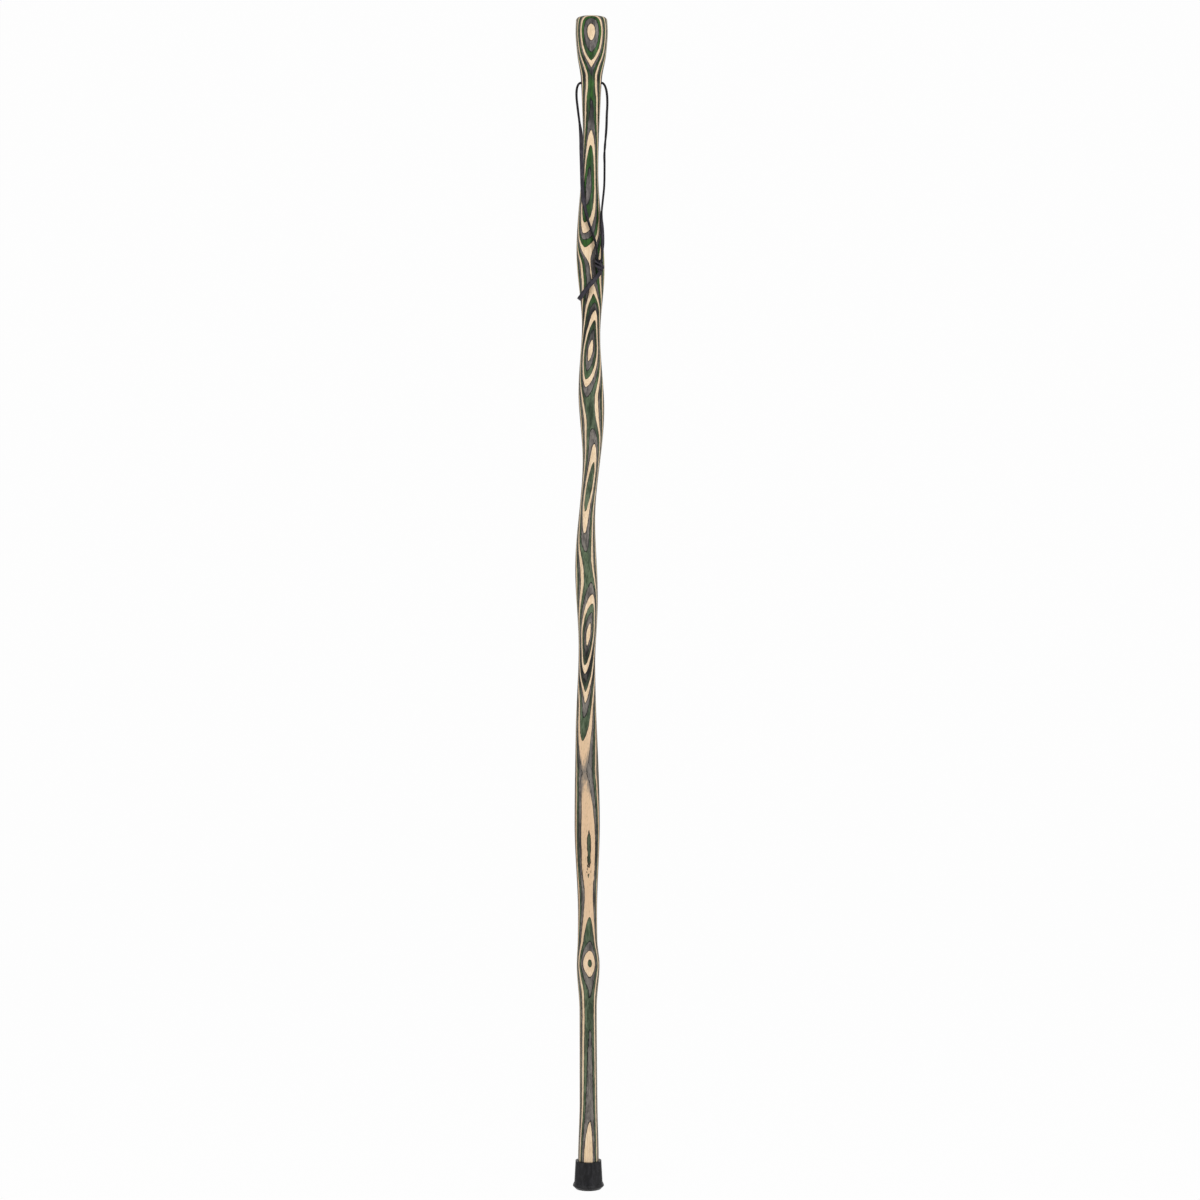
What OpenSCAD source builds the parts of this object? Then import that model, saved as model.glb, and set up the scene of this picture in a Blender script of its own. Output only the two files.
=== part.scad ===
// Hiking staff: a shaft carved from a glued billet of dyed veneers, a leather wrist lace
// knotted through a cross bore in its neck, and a push-on rubber tip with a steel washer.
// The origin is the middle of the tip's tread, +Z runs up the staff and -Y is its front.

/* [Shaft] */
// Length of the staff, from the ground to the crown of the head
staff_length = 1397; // [1330:1:1600]
// Radius of the rounding round the crown
crown_radius = 3.5; // [1:0.5:5]
// Drop of the wood's knot below the crown
knot_drop = 1127; // [1110:1:1150]
// Length of the flare where the shaft widens towards the tip
flare_length = 70; // [50:1:100]

/* [Veneers] */
// Thickness of a ply
ply_thickness = 1.6; // [1.5:0.05:1.8]
// Distance of the tip's axis behind the middle of the billet
axis_shift = 2.4; // [1:0.1:4]

/* [Cross bore] */
// Drop of the bore below the crown
bore_drop = 78; // [70:1:110]
// Diameter of the bore
bore_diameter = 5.2; // [5:0.1:8]

/* [Lace] */
// Width of the flat leather lace
lace_width = 4.4; // [3:0.1:4.6]
// Thickness of the lace
lace_thickness = 2.3; // [1.5:0.1:2.6]
// Length of lace that stands out of each mouth of the bore
lace_stub = 0.6; // [0.3:0.1:1.5]
// Diameter of the knot over its two wraps
knot_diameter = 11; // [9:0.5:13]
// Height of the knot
knot_height = 15; // [12:0.5:18]
// How far the knot is drawn in between and beyond its wraps
knot_waist = 1.2; // [0.5:0.1:2]

/* [Rubber tip] */
// Height of the rubber tip
tip_height = 33.5; // [28:0.5:50]
// Diameter of the shaft's end inside the tip
seat_diameter = 24.4; // [20:0.1:25]
// Radial clearance between the shaft's end and the tip
seat_clearance = 0.05; // [0.02:0.01:0.1]
// Outer diameter of the tip at its mouth
mouth_diameter = 32.2; // [30:0.1:34]
// Chamfer round the mouth's rim
mouth_chamfer = 0.5; // [0.2:0.1:1]
// Diameter of the tapered wall where it meets the foot
wall_foot_diameter = 35.1; // [34:0.1:36]
// Diameter of the flared foot
foot_diameter = 37; // [36:0.5:44]
// Height of the flared foot
foot_height = 7; // [6:0.5:10]
// Height of the foot's widest band
foot_band = 1; // [0.5:0.1:1.5]
// Bevel round the foot's tread
tread_bevel = 3.5; // [1:0.1:4]
// Thickness of the rubber floor under the washer
floor_thickness = 6; // [4:0.5:9]
// Depth of the ring grooves in the tread
tread_depth = 1.5; // [0.5:0.1:2.5]
// Width of the ring grooves and of the lands between them
tread_pitch = 2.6; // [1.5:0.1:3]
// Number of ring grooves in the tread
tread_rings = 2; // [1:1:2]
// Number of shallow flats round the tapered wall
wall_flats = 8; // [6:1:10]
// How deep the flats cut into the wall
flat_depth = 0.7; // [0.2:0.1:1]
// Thickness of the steel washer
washer_thickness = 1.5; // [1:0.1:3]
// Radial clearance round the washer
washer_clearance = 0.1; // [0.05:0.01:0.3]

/* [Hidden] */
// The ply order repeats natural, charcoal, green, and ends on natural.
ply_count = 25;
ply_dyes = ["natural", "charcoal", "green"];
ply_colours = ["burlywood", "dimgray", "darkolivegreen"];
billet = ply_count * ply_thickness;
billet_front = -axis_shift - billet / 2;
billet_back = billet_front + billet;

function two_digits(n) = n < 10 ? str("0", n) : str(n);
function ply_name(i) = str("ply_", two_digits(i + 1), "_", ply_dyes[i % 3]);
// Depth of a ply's front face in the billet.
function ply_face(i) = billet_front + i * ply_thickness;
function ply_back(i) = ply_face(i + 1);

LACE_NODES = [
  "lace_in_bore", "lace_left_leg", "lace_right_leg", "lace_knot", "lace_front_tail", "lace_rear_tail"
];

$fn = 64;
seat_radius = seat_diameter / 2;
// The carved shaft ends a hair wider than its turned end, just above the tip.
shoulder = 0.2;
foot_radius = seat_radius + shoulder;
seat_end = floor_thickness + washer_thickness;
foot_drop = staff_length - tip_height - shoulder;
flare_drop = foot_drop - flare_length;
bore_height = staff_length - bore_drop;
bore_depth = (billet_front + billet_back) / 2;
bore_radius = bore_diameter / 2;
tiny = 0.0001;

// The carved shape, as six curves of [drop below the crown, offset]. Each point is a crest, a hollow or a
// place where the curve turns, and the curves run level through crests and hollows. The carving goes down to
// the flare above the tip, so a shorter staff keeps its upper part. Points round the wood's knot are given
// from its middle. Rings of points follow the curves at a steady step.
ring_step = 20;
function round_knot(points) = [for (point = points) [knot_drop + point[0], point[1]]];
function cut_to_length(carving, at_flare, at_foot) =
  concat(
    [for (point = carving) if (point[0] < flare_drop - ring_step) point],
    [[flare_drop, at_flare], [foot_drop, at_foot]]
  );
// Left and right edges, seen from the front.
left_carving = [
  [0, -14.8], [16, -15.4], [44, -13.4], [72, -9.2], [100, -7.8], [150, -6.4], [279, -14.3], [368, -7.8],
  [447, -11.9], [528, -6.9], [657, -15.8], [750, -11.7], [850, -15.2], [961, -16.6], [1072, -12.5]
];
left_knot = [[-26, -12.8], [3, -14], [58, -10.7]];
left_flare = -10.5;
left_edge = cut_to_length(concat(left_carving, round_knot(left_knot)), left_flare, -foot_radius);
right_carving = [
  [0, 22.4], [16, 23.1], [44, 21.2], [72, 16.3], [100, 14.5], [184, 11.8], [300, 19.3], [381, 14.1],
  [467, 18.9], [600, 8.1], [692, 11.3], [771, 8.2], [961, 13.6], [1070, 10.3]
];
right_knot = [[-26, 10.7], [3, 13.4], [54, 10]];
right_flare = 10.8;
right_edge = cut_to_length(concat(right_carving, round_knot(right_knot)), right_flare, foot_radius);
// How deep the shaft's front is cut below the billet's front face, along its ridge: from the head to the
// neck, over the three crests between the neck and the waist, through the long hollow, and over the knot.
front_carving = [
  [0, 4.4], [8, 2], [20, 1], [45, 3.2], [62, 6.4], [71, 8], [84, 8.4], [98, 8.05], [120, 7.5], [137, 6.4],
  [155, 4.8], [182, 3.2], [205, 2.6], [228, 3.2], [246, 4.8], [259, 6.4], [275, 9.6], [296, 11.1],
  [312, 11.1], [331, 9.6], [351, 6.4], [363, 4.8], [386, 1.6], [398, 0.7], [411, 1.6], [428, 4], [442, 6.4],
  [455, 8], [478, 8.7], [509, 6.4], [562, 3.5], [590, 4.8], [616, 6.4], [655, 8.7], [674, 8], [688, 6.4],
  [699, 4.8], [722, 1.6], [735, 0.65], [749, 1.6], [761, 3.2], [782, 6.4], [804, 9.6], [834, 12.8],
  [862, 14.4], [886, 15.5], [899, 16.1], [913, 15.6], [966, 14.4], [984, 14.2], [1002, 14.4], [1040, 15.3]
];
front_knot = [[-27, 12.8], [0, 9.4], [16, 11.2], [36, 12.8], [61, 13], [85, 12.8]];
front_flare = 11.75;
front_cut = cut_to_length(
  concat(front_carving, round_knot(front_knot)), front_flare, billet / 2 + axis_shift - foot_radius
);
// How deep its back is cut below the billet's back face.
back_carving = [
  [0, 2.6], [20, 1.2], [70, 7.8], [95, 9.2], [201, 12.2], [305, 6.7], [399, 12.7], [475, 8.2],
  [562, 11.2], [655, 9.2], [735, 11.6], [903, 4.7], [1042, 6.8]
];
back_knot = [[-27, 6.9], [0, 5.2], [61, 7.2]];
back_flare = 6.9;
back_cut = cut_to_length(
  concat(back_carving, round_knot(back_knot)), back_flare, billet / 2 - axis_shift - foot_radius
);
// Sideways place of the front ridge, which winds to and fro down the shaft.
ridge_carving = [
  [20, 3.3], [100, 3.7], [150, 2.8], [201, 0.1], [246, -4.6], [262, -5.4], [276, -4.2], [296, 2], [306, 3.2],
  [331, 6.2], [353, 8.2], [384, 5], [412, 0], [438, -3.2], [515, 7.3], [535, 6], [590, -3.9], [618, -4.8],
  [694, 5.4], [722, 2.3], [750, -1.8], [776, -4.4], [806, -3.4], [862, -7.4], [983, 1]
];
ridge_knot = [[0, 2.1]];
ridge_flare = 2.5;
ridge = cut_to_length(concat(ridge_carving, round_knot(ridge_knot)), ridge_flare, 0);
// How keen the front ridge is, from 0 where it is round: under the head, and on its crests and hollows below.
keel_carving = [
  [0, 0], [36, 0], [62, 0.75], [84, 0.4], [104, 0], [270, 0], [296, 0.6], [331, 0.6], [354, 0.4],
  [386, 0.55], [412, 0.55], [442, 0.35], [478, 0], [535, 0.35], [590, 0.35], [640, 0], [690, 0.3],
  [722, 0.55], [750, 0.55], [776, 0.35], [806, 0.75], [850, 0]
];
keel = cut_to_length(keel_carving, 0, 0);

// A curve's slope at a point: level at crests and hollows, and between its neighbours' slopes elsewhere.
function rise(curve, i) = (curve[i + 1][1] - curve[i][1]) / (curve[i + 1][0] - curve[i][0]);
function slope(curve, i) =
  i <= 0 || i >= len(curve) - 1 ? 0
  : let (before = rise(curve, i - 1), after = rise(curve, i))
    before * after <= 0 ? 0 : 2 * before * after / (before + after);
function span_at(curve, drop, i = 0) =
  i >= len(curve) - 2 || drop < curve[i + 1][0] ? i : span_at(curve, drop, i + 1);
function value_at(curve, drop) =
  let (
    i = span_at(curve, drop),
    run = curve[i + 1][0] - curve[i][0],
    u = max(0, min(1, (drop - curve[i][0]) / run)),
    ease = u * u * (3 - 2 * u)
  )
  curve[i][1] * (1 - ease) + curve[i + 1][1] * ease
    + run * u * (1 - u) * (slope(curve, i) * (1 - u) - slope(curve, i + 1) * u);

// The shaft's section at a drop: [left, right, front, middle, back, front ridge, back ridge, keel].
LEFT = 0;
RIGHT = 1;
FRONT = 2;
MIDDLE = 3;
BACK = 4;
FRONT_RIDGE = 5;
BACK_RIDGE = 6;
KEEL = 7;
function crown_inset(drop) =
  drop >= crown_radius ? 0 : crown_radius - sqrt(pow(crown_radius, 2) - pow(crown_radius - drop, 2));
function section(drop) =
  let (
    inset = crown_inset(drop),
    left = value_at(left_edge, drop) + inset,
    right = value_at(right_edge, drop) - inset,
    front = billet_front + value_at(front_cut, drop) + inset,
    back = billet_back - value_at(back_cut, drop) - inset,
    middle = (front + back) / 2,
    front_ridge = value_at(ridge, drop)
  )
  [left, right, front, middle, back, front_ridge, left + right - front_ridge, value_at(keel, drop)];

// Round the section an angle of -90 is the front ridge, 0 the side and 90 the back ridge.
function section_angle(s, depth) = asin(max(-1, min(1, (depth - s[MIDDLE]) / (s[BACK] - s[MIDDLE]))));
// Share of the way from a ridge out to the side. A keen ridge has its flanks drawn in.
function outward(share, keenness) = share * (1 - keenness * (1 - share));
function section_point(s, angle, side, drop) =
  let (
    crest = angle < 0 ? s[FRONT_RIDGE] : s[BACK_RIDGE],
    share = outward(cos(angle), angle < 0 ? s[KEEL] : 0)
  )
  [
    crest + (s[side] - crest) * share,
    s[MIDDLE] + (s[BACK] - s[MIDDLE]) * sin(angle),
    staff_length - drop
  ];

// Drops at which the shaft is cut into rings: round the crown, down the shaft, and closer at the knot.
knot_step = 7;
knot_reach = 28;
last_drop = foot_drop - ring_step / 2;
knot_start = min(knot_drop - knot_reach - knot_step, last_drop);
ring_drops = concat(
  [for (a = [0, 30, 60]) crown_radius * (1 - cos(a))],
  [for (d = crown_radius; d < knot_start; d = d + ring_step) d],
  [for (d = [-knot_reach : knot_step : knot_reach]) if (knot_drop + d < last_drop) knot_drop + d],
  [for (d = knot_drop + knot_reach + ring_step; d < last_drop; d = d + ring_step) d],
  [foot_drop]
);

// Drops at which the front or the back of the shaft passes through a ply's face.
scan_step = 3;
scan_drops = concat([for (d = 0; d < foot_drop; d = d + scan_step) d], [foot_drop]);
scan_sections = [for (d = scan_drops) section(d)];
function crossing(part, depth, low, high, steps = 40) =
  let (middle = (low + high) / 2)
  steps == 0 ? middle
  : (section(low)[part] - depth) * (section(middle)[part] - depth) <= 0
    ? crossing(part, depth, low, middle, steps - 1)
    : crossing(part, depth, middle, high, steps - 1);
function crossings(part, depth) = [
  for (i = [0 : len(scan_drops) - 2])
    if ((scan_sections[i][part] - depth) * (scan_sections[i + 1][part] - depth) < 0)
      crossing(part, depth, scan_drops[i], scan_drops[i + 1])
];
function midways(drops) =
  len(drops) < 2 ? [] : [for (i = [0 : len(drops) - 2]) (drops[i] + drops[i + 1]) / 2];
function sorted(list) =
  len(list) < 2 ? list
  : let (pivot = list[floor(len(list) / 2)])
    concat(
      sorted([for (v = list) if (v < pivot) v]),
      [for (v = list) if (v == pivot) v],
      sorted([for (v = list) if (v > pivot) v])
    );
function nearest(list, value) = len(list) == 0 ? 1000 : min([for (v = list) abs(v - value)]);

// A ply's own rings: the shaft's, with one where each of its tips ends in a point.
ring_room = 1.5;
function ply_drops(i) =
  let (
    sets = [
      crossings(FRONT, ply_face(i)), crossings(FRONT, ply_back(i)),
      crossings(BACK, ply_face(i)), crossings(BACK, ply_back(i))
    ],
    tips = [for (set = sets) each set],
    between = [for (set = sets) each midways(set)],
    own = concat(tips, [for (d = between) if (nearest(tips, d) > ring_room) d])
  )
  sorted(concat(own, [for (d = ring_drops) if (nearest(own, d) > ring_room) d]));
function ply_depth(i, s) = min(ply_back(i), s[BACK]) - max(ply_face(i), s[FRONT]);

// Each stretch of rings in which a ply is present, as [first, last].
function stretches(depths) =
  let (
    count = len(depths),
    first = [for (j = [0 : count - 1]) if (depths[j] > -tiny && (j == 0 || depths[j - 1] <= -tiny)) j],
    last = [for (j = [0 : count - 1]) if (depths[j] > -tiny && (j == count - 1 || depths[j + 1] <= -tiny)) j]
  )
  [for (n = [0 : 1 : len(first) - 1]) if (last[n] > first[n]) [first[n], last[n]]];

// Points on each flank of a ply: the plies near the core need two, and those that crest often need three.
core_plies = [8, 16];
function flank_points(i) = i >= core_plies[0] && i <= core_plies[1] ? 2 : 3;

// One stretch of a ply, as a closed solid. A ring runs back along the left flank and forward along the right
// one; where the ply crests its two flanks share a point, and at a tip the whole ring is one point.
module ply_stretch(i, drops) {
  flank = flank_points(i);
  size = 2 * flank;
  sections = [for (d = drops) section(d)];
  depths = [for (s = sections) ply_depth(i, s)];
  points = [
    for (j = [0 : len(drops) - 1])
      let (
        s = sections[j],
        from = section_angle(s, max(ply_face(i), s[FRONT])),
        to = section_angle(s, min(ply_back(i), s[BACK])),
        turn = (to - from) / (flank - 1)
      )
      each concat(
        [for (n = [0 : flank - 1]) section_point(s, from + turn * n, LEFT, drops[j])],
        [for (n = [flank - 1 : -1 : 0]) section_point(s, from + turn * n, RIGHT, drops[j])]
      )
  ];
  function corner(j, n) =
    let (k = n % size)
    depths[j] < tiny ? j * size
    : k == size - 1 && sections[j][FRONT] > ply_face(i) - tiny ? j * size
    : k == flank && sections[j][BACK] < ply_back(i) + tiny ? j * size + flank - 1
    : j * size + k;
  sides = [
    for (j = [0 : len(drops) - 2], n = [0 : size - 1], half = [0, 1])
      let (
        a = corner(j, n + 1),
        b = half == 0 ? corner(j, n) : corner(j + 1, n),
        c = half == 0 ? corner(j + 1, n) : corner(j + 1, n + 1)
      )
      if (a != b && b != c && a != c) [a, b, c]
  ];
  end = len(drops) - 1;
  function cap_corners(j, order) = [for (n = order) if (corner(j, n) != corner(j, n + 1)) corner(j, n)];
  caps = concat(
    depths[0] < tiny ? [] : [cap_corners(0, [0 : size - 1])],
    depths[end] < tiny ? [] : [cap_corners(end, [size - 1 : -1 : 0])]
  );
  polyhedron(points, concat(sides, caps), convexity = 6);
}

// The bore runs out past both flanks of the neck.
module cross_bore() {
  translate([left_mouth - bore_radius, bore_depth, bore_height]) rotate([0, 90, 0])
    cylinder(r = bore_radius, h = right_mouth - left_mouth + bore_diameter);
}

// The turned end of the shaft, of which each ply holds its own slice.
module seat_slice(i) {
  reach = seat_radius + 1;
  intersection() {
    translate([0, 0, seat_end]) cylinder(r = seat_radius, h = tip_height + 2 * shoulder - seat_end);
    translate([-reach, ply_face(i), 0]) cube([2 * reach, ply_back(i) - ply_face(i), 2 * tip_height]);
  }
}

module ply(i) {
  drops = ply_drops(i);
  depths = [for (d = drops) ply_depth(i, section(d))];
  in_seat = ply_face(i) < seat_radius && ply_back(i) > -seat_radius;
  at_bore = ply_face(i) < bore_depth + bore_radius && ply_back(i) > bore_depth - bore_radius;
  color(ply_colours[i % 3]) difference() {
    union() {
      for (stretch = stretches(depths))
        ply_stretch(i, [for (j = [stretch[0] : stretch[1]]) drops[j]]);
      if (in_seat) seat_slice(i);
    }
    if (at_bore) cross_bore();
  }
}

// The rubber tip, turned from its profile, with shallow flats on its wall.
module rubber_ferrule() {
  foot = foot_diameter / 2;
  mouth = mouth_diameter / 2;
  bore = seat_radius + seat_clearance;
  color("#2d2d2f") difference() {
    rotate_extrude() polygon([
      [0, 0], [foot - tread_bevel, 0], [foot, tread_bevel], [foot, tread_bevel + foot_band],
      [wall_foot_diameter / 2, foot_height], [mouth, tip_height - mouth_chamfer],
      [mouth - mouth_chamfer, tip_height], [bore, tip_height], [bore, floor_thickness], [0, floor_thickness]
    ]);
    for (n = [1 : tread_rings]) tread_groove(tread_pitch * (2 * n - 1));
    for (n = [0 : wall_flats - 1]) rotate([0, 0, -90 + 360 * n / wall_flats]) wall_flat();
  }
}

module tread_groove(inner) {
  translate([0, 0, -tread_depth]) difference() {
    cylinder(r = inner + tread_pitch, h = 2 * tread_depth);
    translate([0, 0, -tread_depth]) cylinder(r = inner, h = 4 * tread_depth);
  }
}

// The space in front of one flat, which lies along the wall's taper and runs out at the mouth.
module wall_flat() {
  lean = atan2((wall_foot_diameter - mouth_diameter) / 2, tip_height - mouth_chamfer - foot_height);
  translate([wall_foot_diameter / 2 - flat_depth, 0, foot_height]) rotate([0, -lean, 0])
    translate([0, -foot_diameter / 2, 0]) cube([foot_diameter / 2, foot_diameter, tip_height]);
}

module ferrule_washer() {
  color("silver") translate([0, 0, floor_thickness])
    cylinder(r = seat_radius - washer_clearance, h = washer_thickness);
}

// The lace's routes, as [x, y, height from the bore, turn]. A turn of 0 shows its flat side to the front and
// one of 90 its edge. The legs go from the mouths of the bore to the knot, and the tails from the knot.
left_mouth = value_at(left_edge, bore_drop) - lace_stub;
right_mouth = value_at(right_edge, bore_drop) + lace_stub;
knot_top = -211;
knot_bottom = knot_top - knot_height;
knot_x = 13.2;
knot_y = -15.6;
left_route = [
  [left_mouth, bore_depth, 0, 90], [-11.3, -2.5, -1, 90], [-12.7, -2.6, -3.2, 90], [-13.7, -2.8, -6.6, 90],
  [-14.2, -3.1, -11.5, 90], [-14.1, -3.5, -18, 90], [-13.3, -4.3, -26, 90], [-12, -5.8, -37, 88],
  [-10.6, -7.4, -48, 80], [-9.4, -8.8, -57, 55], [-8.7, -10.4, -66, 25], [-8.5, -13, -81, 10],
  [-7.8, -16.8, -104, 8], [-7.1, -20.2, -128, 8], [-5.7, -21.4, -144, 15], [-3.6, -21.7, -154, 40],
  [-1.4, -21.1, -164, 65], [1.3, -19.9, -172, 75], [3.7, -18.7, -179, 75], [6.2, -17.8, -185, 75],
  [8, -17, -191, 80], [9.4, -16.2, -199, 85], [10.2, -15.7, -206.5, 90], [10.5, knot_y, knot_top, 90]
];
right_route = [
  [right_mouth, bore_depth, 0, 90], [18, -2.5, -1, 90], [19.6, -2.6, -3.4, 90], [20.9, -2.8, -7, 90],
  [21.8, -3, -11.5, 90], [22.4, -3.3, -18, 90], [22.5, -3.7, -27, 90], [21.9, -4.2, -38, 92],
  [21.5, -5.1, -52, 95], [20.7, -6, -64, 95], [19.7, -7.1, -76, 80], [19, -8.1, -87, 100],
  [19.2, -9.1, -98, 95], [18.8, -11.4, -124, 95], [17.2, -12.9, -141, 95], [15.9, -13.9, -154, 90],
  [15.6, -14.5, -164, 70], [16.4, -15, -176, 40], [16.9, -15.4, -192, 40], [16.4, -15.6, -202, 70],
  [15.9, knot_y, knot_top, 90]
];
front_tail_route = [
  [14.4, knot_y - 1.5, knot_bottom, 0], [13.6, knot_y - 1.6, knot_bottom - 2.5, 0],
  [11.4, knot_y - 1.7, knot_bottom - 6, 0], [6.4, knot_y - 1.9, knot_bottom - 12, 0],
  [0.4, knot_y - 1.9, knot_bottom - 19, 0], [-5.6, knot_y - 1.7, knot_bottom - 27, 0],
  [-10.8, knot_y - 1.4, knot_bottom - 34.5, 0]
];
rear_tail_route = [
  [14, knot_y + 1.3, knot_bottom, 0], [13, knot_y + 1.2, knot_bottom - 2.5, 0],
  [10.6, knot_y + 1.1, knot_bottom - 5.8, 0], [5.4, knot_y + 0.9, knot_bottom - 11, 0],
  [-0.4, knot_y + 0.9, knot_bottom - 18, 0], [-6, knot_y + 1, knot_bottom - 25.5, 0],
  [-11.8, knot_y + 1.1, knot_bottom - 33.6, 0]
];

// Outline of the lace: a flat strip with full, rounded edges.
lace_sides = 8;
function swell(value) = sign(value) * sqrt(abs(value));
function lace_corner(n) =
  let (a = 360 * (n + 0.5) / lace_sides)
  [lace_width / 2 * swell(cos(a)), lace_thickness / 2 * swell(sin(a))];
function unit(v) = v / norm(v);
function place(p) = [p[0], p[1], bore_height + p[2]];

// Direction of a route at a point: straight out at its ends, and along its neighbours between them.
function heading(route, i, first, last) =
  i == 0 ? first
  : i == len(route) - 1 ? last
  : unit(place(route[i + 1]) - place(route[i - 1]));
function lace_ring(route, i, along) =
  let (
    turn = route[i][3],
    lean = [cos(turn), sin(turn), 0],
    wide = unit(lean - along * (lean * along)),
    thick = cross(along, wide)
  )
  [for (n = [0 : lace_sides - 1]) let (c = lace_corner(n)) place(route[i]) + wide * c[0] + thick * c[1]];

// A strip swept along a route, which leaves along first and arrives along last.
module lace_strip(route, first, last) {
  rings = len(route);
  points = [for (i = [0 : rings - 1]) each lace_ring(route, i, heading(route, i, first, last))];
  sides = [
    for (i = [0 : rings - 2], n = [0 : lace_sides - 1])
      let (
        a = i * lace_sides + n,
        b = i * lace_sides + (n + 1) % lace_sides
      )
      each [[a, a + lace_sides, b], [b, a + lace_sides, b + lace_sides]]
  ];
  caps = [
    [for (n = [0 : lace_sides - 1]) n],
    [for (n = [lace_sides - 1 : -1 : 0]) (rings - 1) * lace_sides + n]
  ];
  color("#37343a") polyhedron(points, concat(sides, caps), convexity = 6);
}

module lace_in_bore() {
  lace_strip([left_route[0], right_route[0]], [1, 0, 0], [1, 0, 0]);
}

module lace_left_leg() {
  lace_strip(left_route, [-1, 0, 0], [0, 0, -1]);
}

module lace_right_leg() {
  lace_strip(right_route, [1, 0, 0], [0, 0, -1]);
}

tail_end = unit([-0.6, 0, -0.8]);
module lace_front_tail() {
  lace_strip(front_tail_route, [0, 0, -1], tail_end);
}

module lace_rear_tail() {
  lace_strip(rear_tail_route, [0, 0, -1], tail_end);
}

// The knot: two full wraps of the lace drawn tight round the strands, with flat ends that those meet.
module lace_knot() {
  wrap = knot_height / 4;
  core = knot_diameter / 2 - wrap;
  color("#37343a") translate([knot_x, knot_y, bore_height + knot_bottom]) rotate_extrude() intersection() {
    square([knot_diameter, knot_height]);
    union() {
      square([knot_diameter / 2 - knot_waist, knot_height]);
      for (n = [1, 3]) translate([core, n * wrap]) circle(r = wrap);
    }
  }
}

for (i = [0 : ply_count - 1])
  ply(i);
rubber_ferrule();
ferrule_washer();
lace_in_bore();
lace_left_leg();
lace_right_leg();
lace_knot();
lace_front_tail();
lace_rear_tail();
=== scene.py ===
"""Dresses a hiking staff: its carved shaft of dyed veneers, its leather wrist lace and its rubber tip.

Shapes are modelled in millimetres, in the staff's own frame, and scaled to metres when they are finished.
"""

from __future__ import annotations

import logging
import math
from dataclasses import dataclass
from enum import Enum
from typing import Sequence

import bpy
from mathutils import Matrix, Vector, noise

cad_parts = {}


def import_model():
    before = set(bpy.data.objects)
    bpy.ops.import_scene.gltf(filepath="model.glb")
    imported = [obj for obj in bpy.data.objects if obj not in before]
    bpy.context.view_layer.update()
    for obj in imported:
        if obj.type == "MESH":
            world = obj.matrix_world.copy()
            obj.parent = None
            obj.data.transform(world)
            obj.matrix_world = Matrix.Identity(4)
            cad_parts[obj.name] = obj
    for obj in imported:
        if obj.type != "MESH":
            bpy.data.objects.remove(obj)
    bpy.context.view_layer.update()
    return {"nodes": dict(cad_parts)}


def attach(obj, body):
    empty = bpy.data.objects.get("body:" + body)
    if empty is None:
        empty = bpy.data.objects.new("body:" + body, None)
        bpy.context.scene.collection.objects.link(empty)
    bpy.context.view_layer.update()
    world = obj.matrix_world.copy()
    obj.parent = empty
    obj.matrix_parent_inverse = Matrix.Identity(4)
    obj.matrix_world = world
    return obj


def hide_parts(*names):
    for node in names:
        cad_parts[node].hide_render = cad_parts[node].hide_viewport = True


LOG = logging.getLogger("hiking_staff")
MM = 0.001

# The staff's driving sizes, in millimetres, as they are in the part.
STAFF_LENGTH = 1397.0
TIP_HEIGHT = 33.5
SEAT_RADIUS = 12.2
SEAT_END = 7.5
SHOULDER = 0.2
FOOT_RADIUS = SEAT_RADIUS + SHOULDER
FOOT_DROP = STAFF_LENGTH - TIP_HEIGHT - SHOULDER
FLARE_DROP = FOOT_DROP - 70.0
KNOT_DROP = 1127.0
BORE_HEIGHT = STAFF_LENGTH - 78.0
BORE_RADIUS = 2.6
AXIS_SHIFT = 2.4
PLY_THICKNESS = 1.6
HALF_BILLET = 20.0

# Sizes of the noises in the wood and in the pebbled skin, along each axis, in millimetres.
FIBRE_SIZE = (0.8, 1.4, 38.0)
FLECK_SIZE = (0.9, 0.9, 4.2)
CLOUD_SIZE = (3.2, 2.4, 13.0)
ZONE_SIZE = (7.0, 5.0, 30.0)
RUB_SIZE = (3.0, 3.0, 7.0)

# The levels of the flecks over which pores come in, and the shares of its reach over which glue fades.
PORE_SPAN = (0.52, 0.68)
GLUE_SPAN = (0.4, 1.0)

UP = Vector((0.0, 0.0, 1.0))

Colour = tuple[float, float, float, float]
Place = tuple[float, float, float]
Span = tuple[float, float]
Ring = tuple[Vector, Vector, Vector]


def srgb(red: int, green: int, blue: int) -> Colour:
    """Turns a screen colour into the linear colour that shaders take.

    Args:
        red: Red, from 0 to 255.
        green: Green, from 0 to 255.
        blue: Blue, from 0 to 255.

    Returns:
        The linear colour, with an alpha of 1.
    """

    def linear(value: int) -> float:
        """Gives one channel's linear value."""
        share = value / 255
        return share / 12.92 if share <= 0.04045 else ((share + 0.055) / 1.055) ** 2.4

    return linear(red), linear(green), linear(blue), 1.0


class Body(Enum):
    """The bodies that pieces ride on."""

    SHAFT = "shaft"
    TIP = "tip"
    WRIST_LOOP = "wrist_loop"


class Dye(Enum):
    """The veneers' dyes, in the order in which they repeat through the billet."""

    NATURAL = "natural"
    CHARCOAL = "charcoal"
    GREEN = "green"


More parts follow.
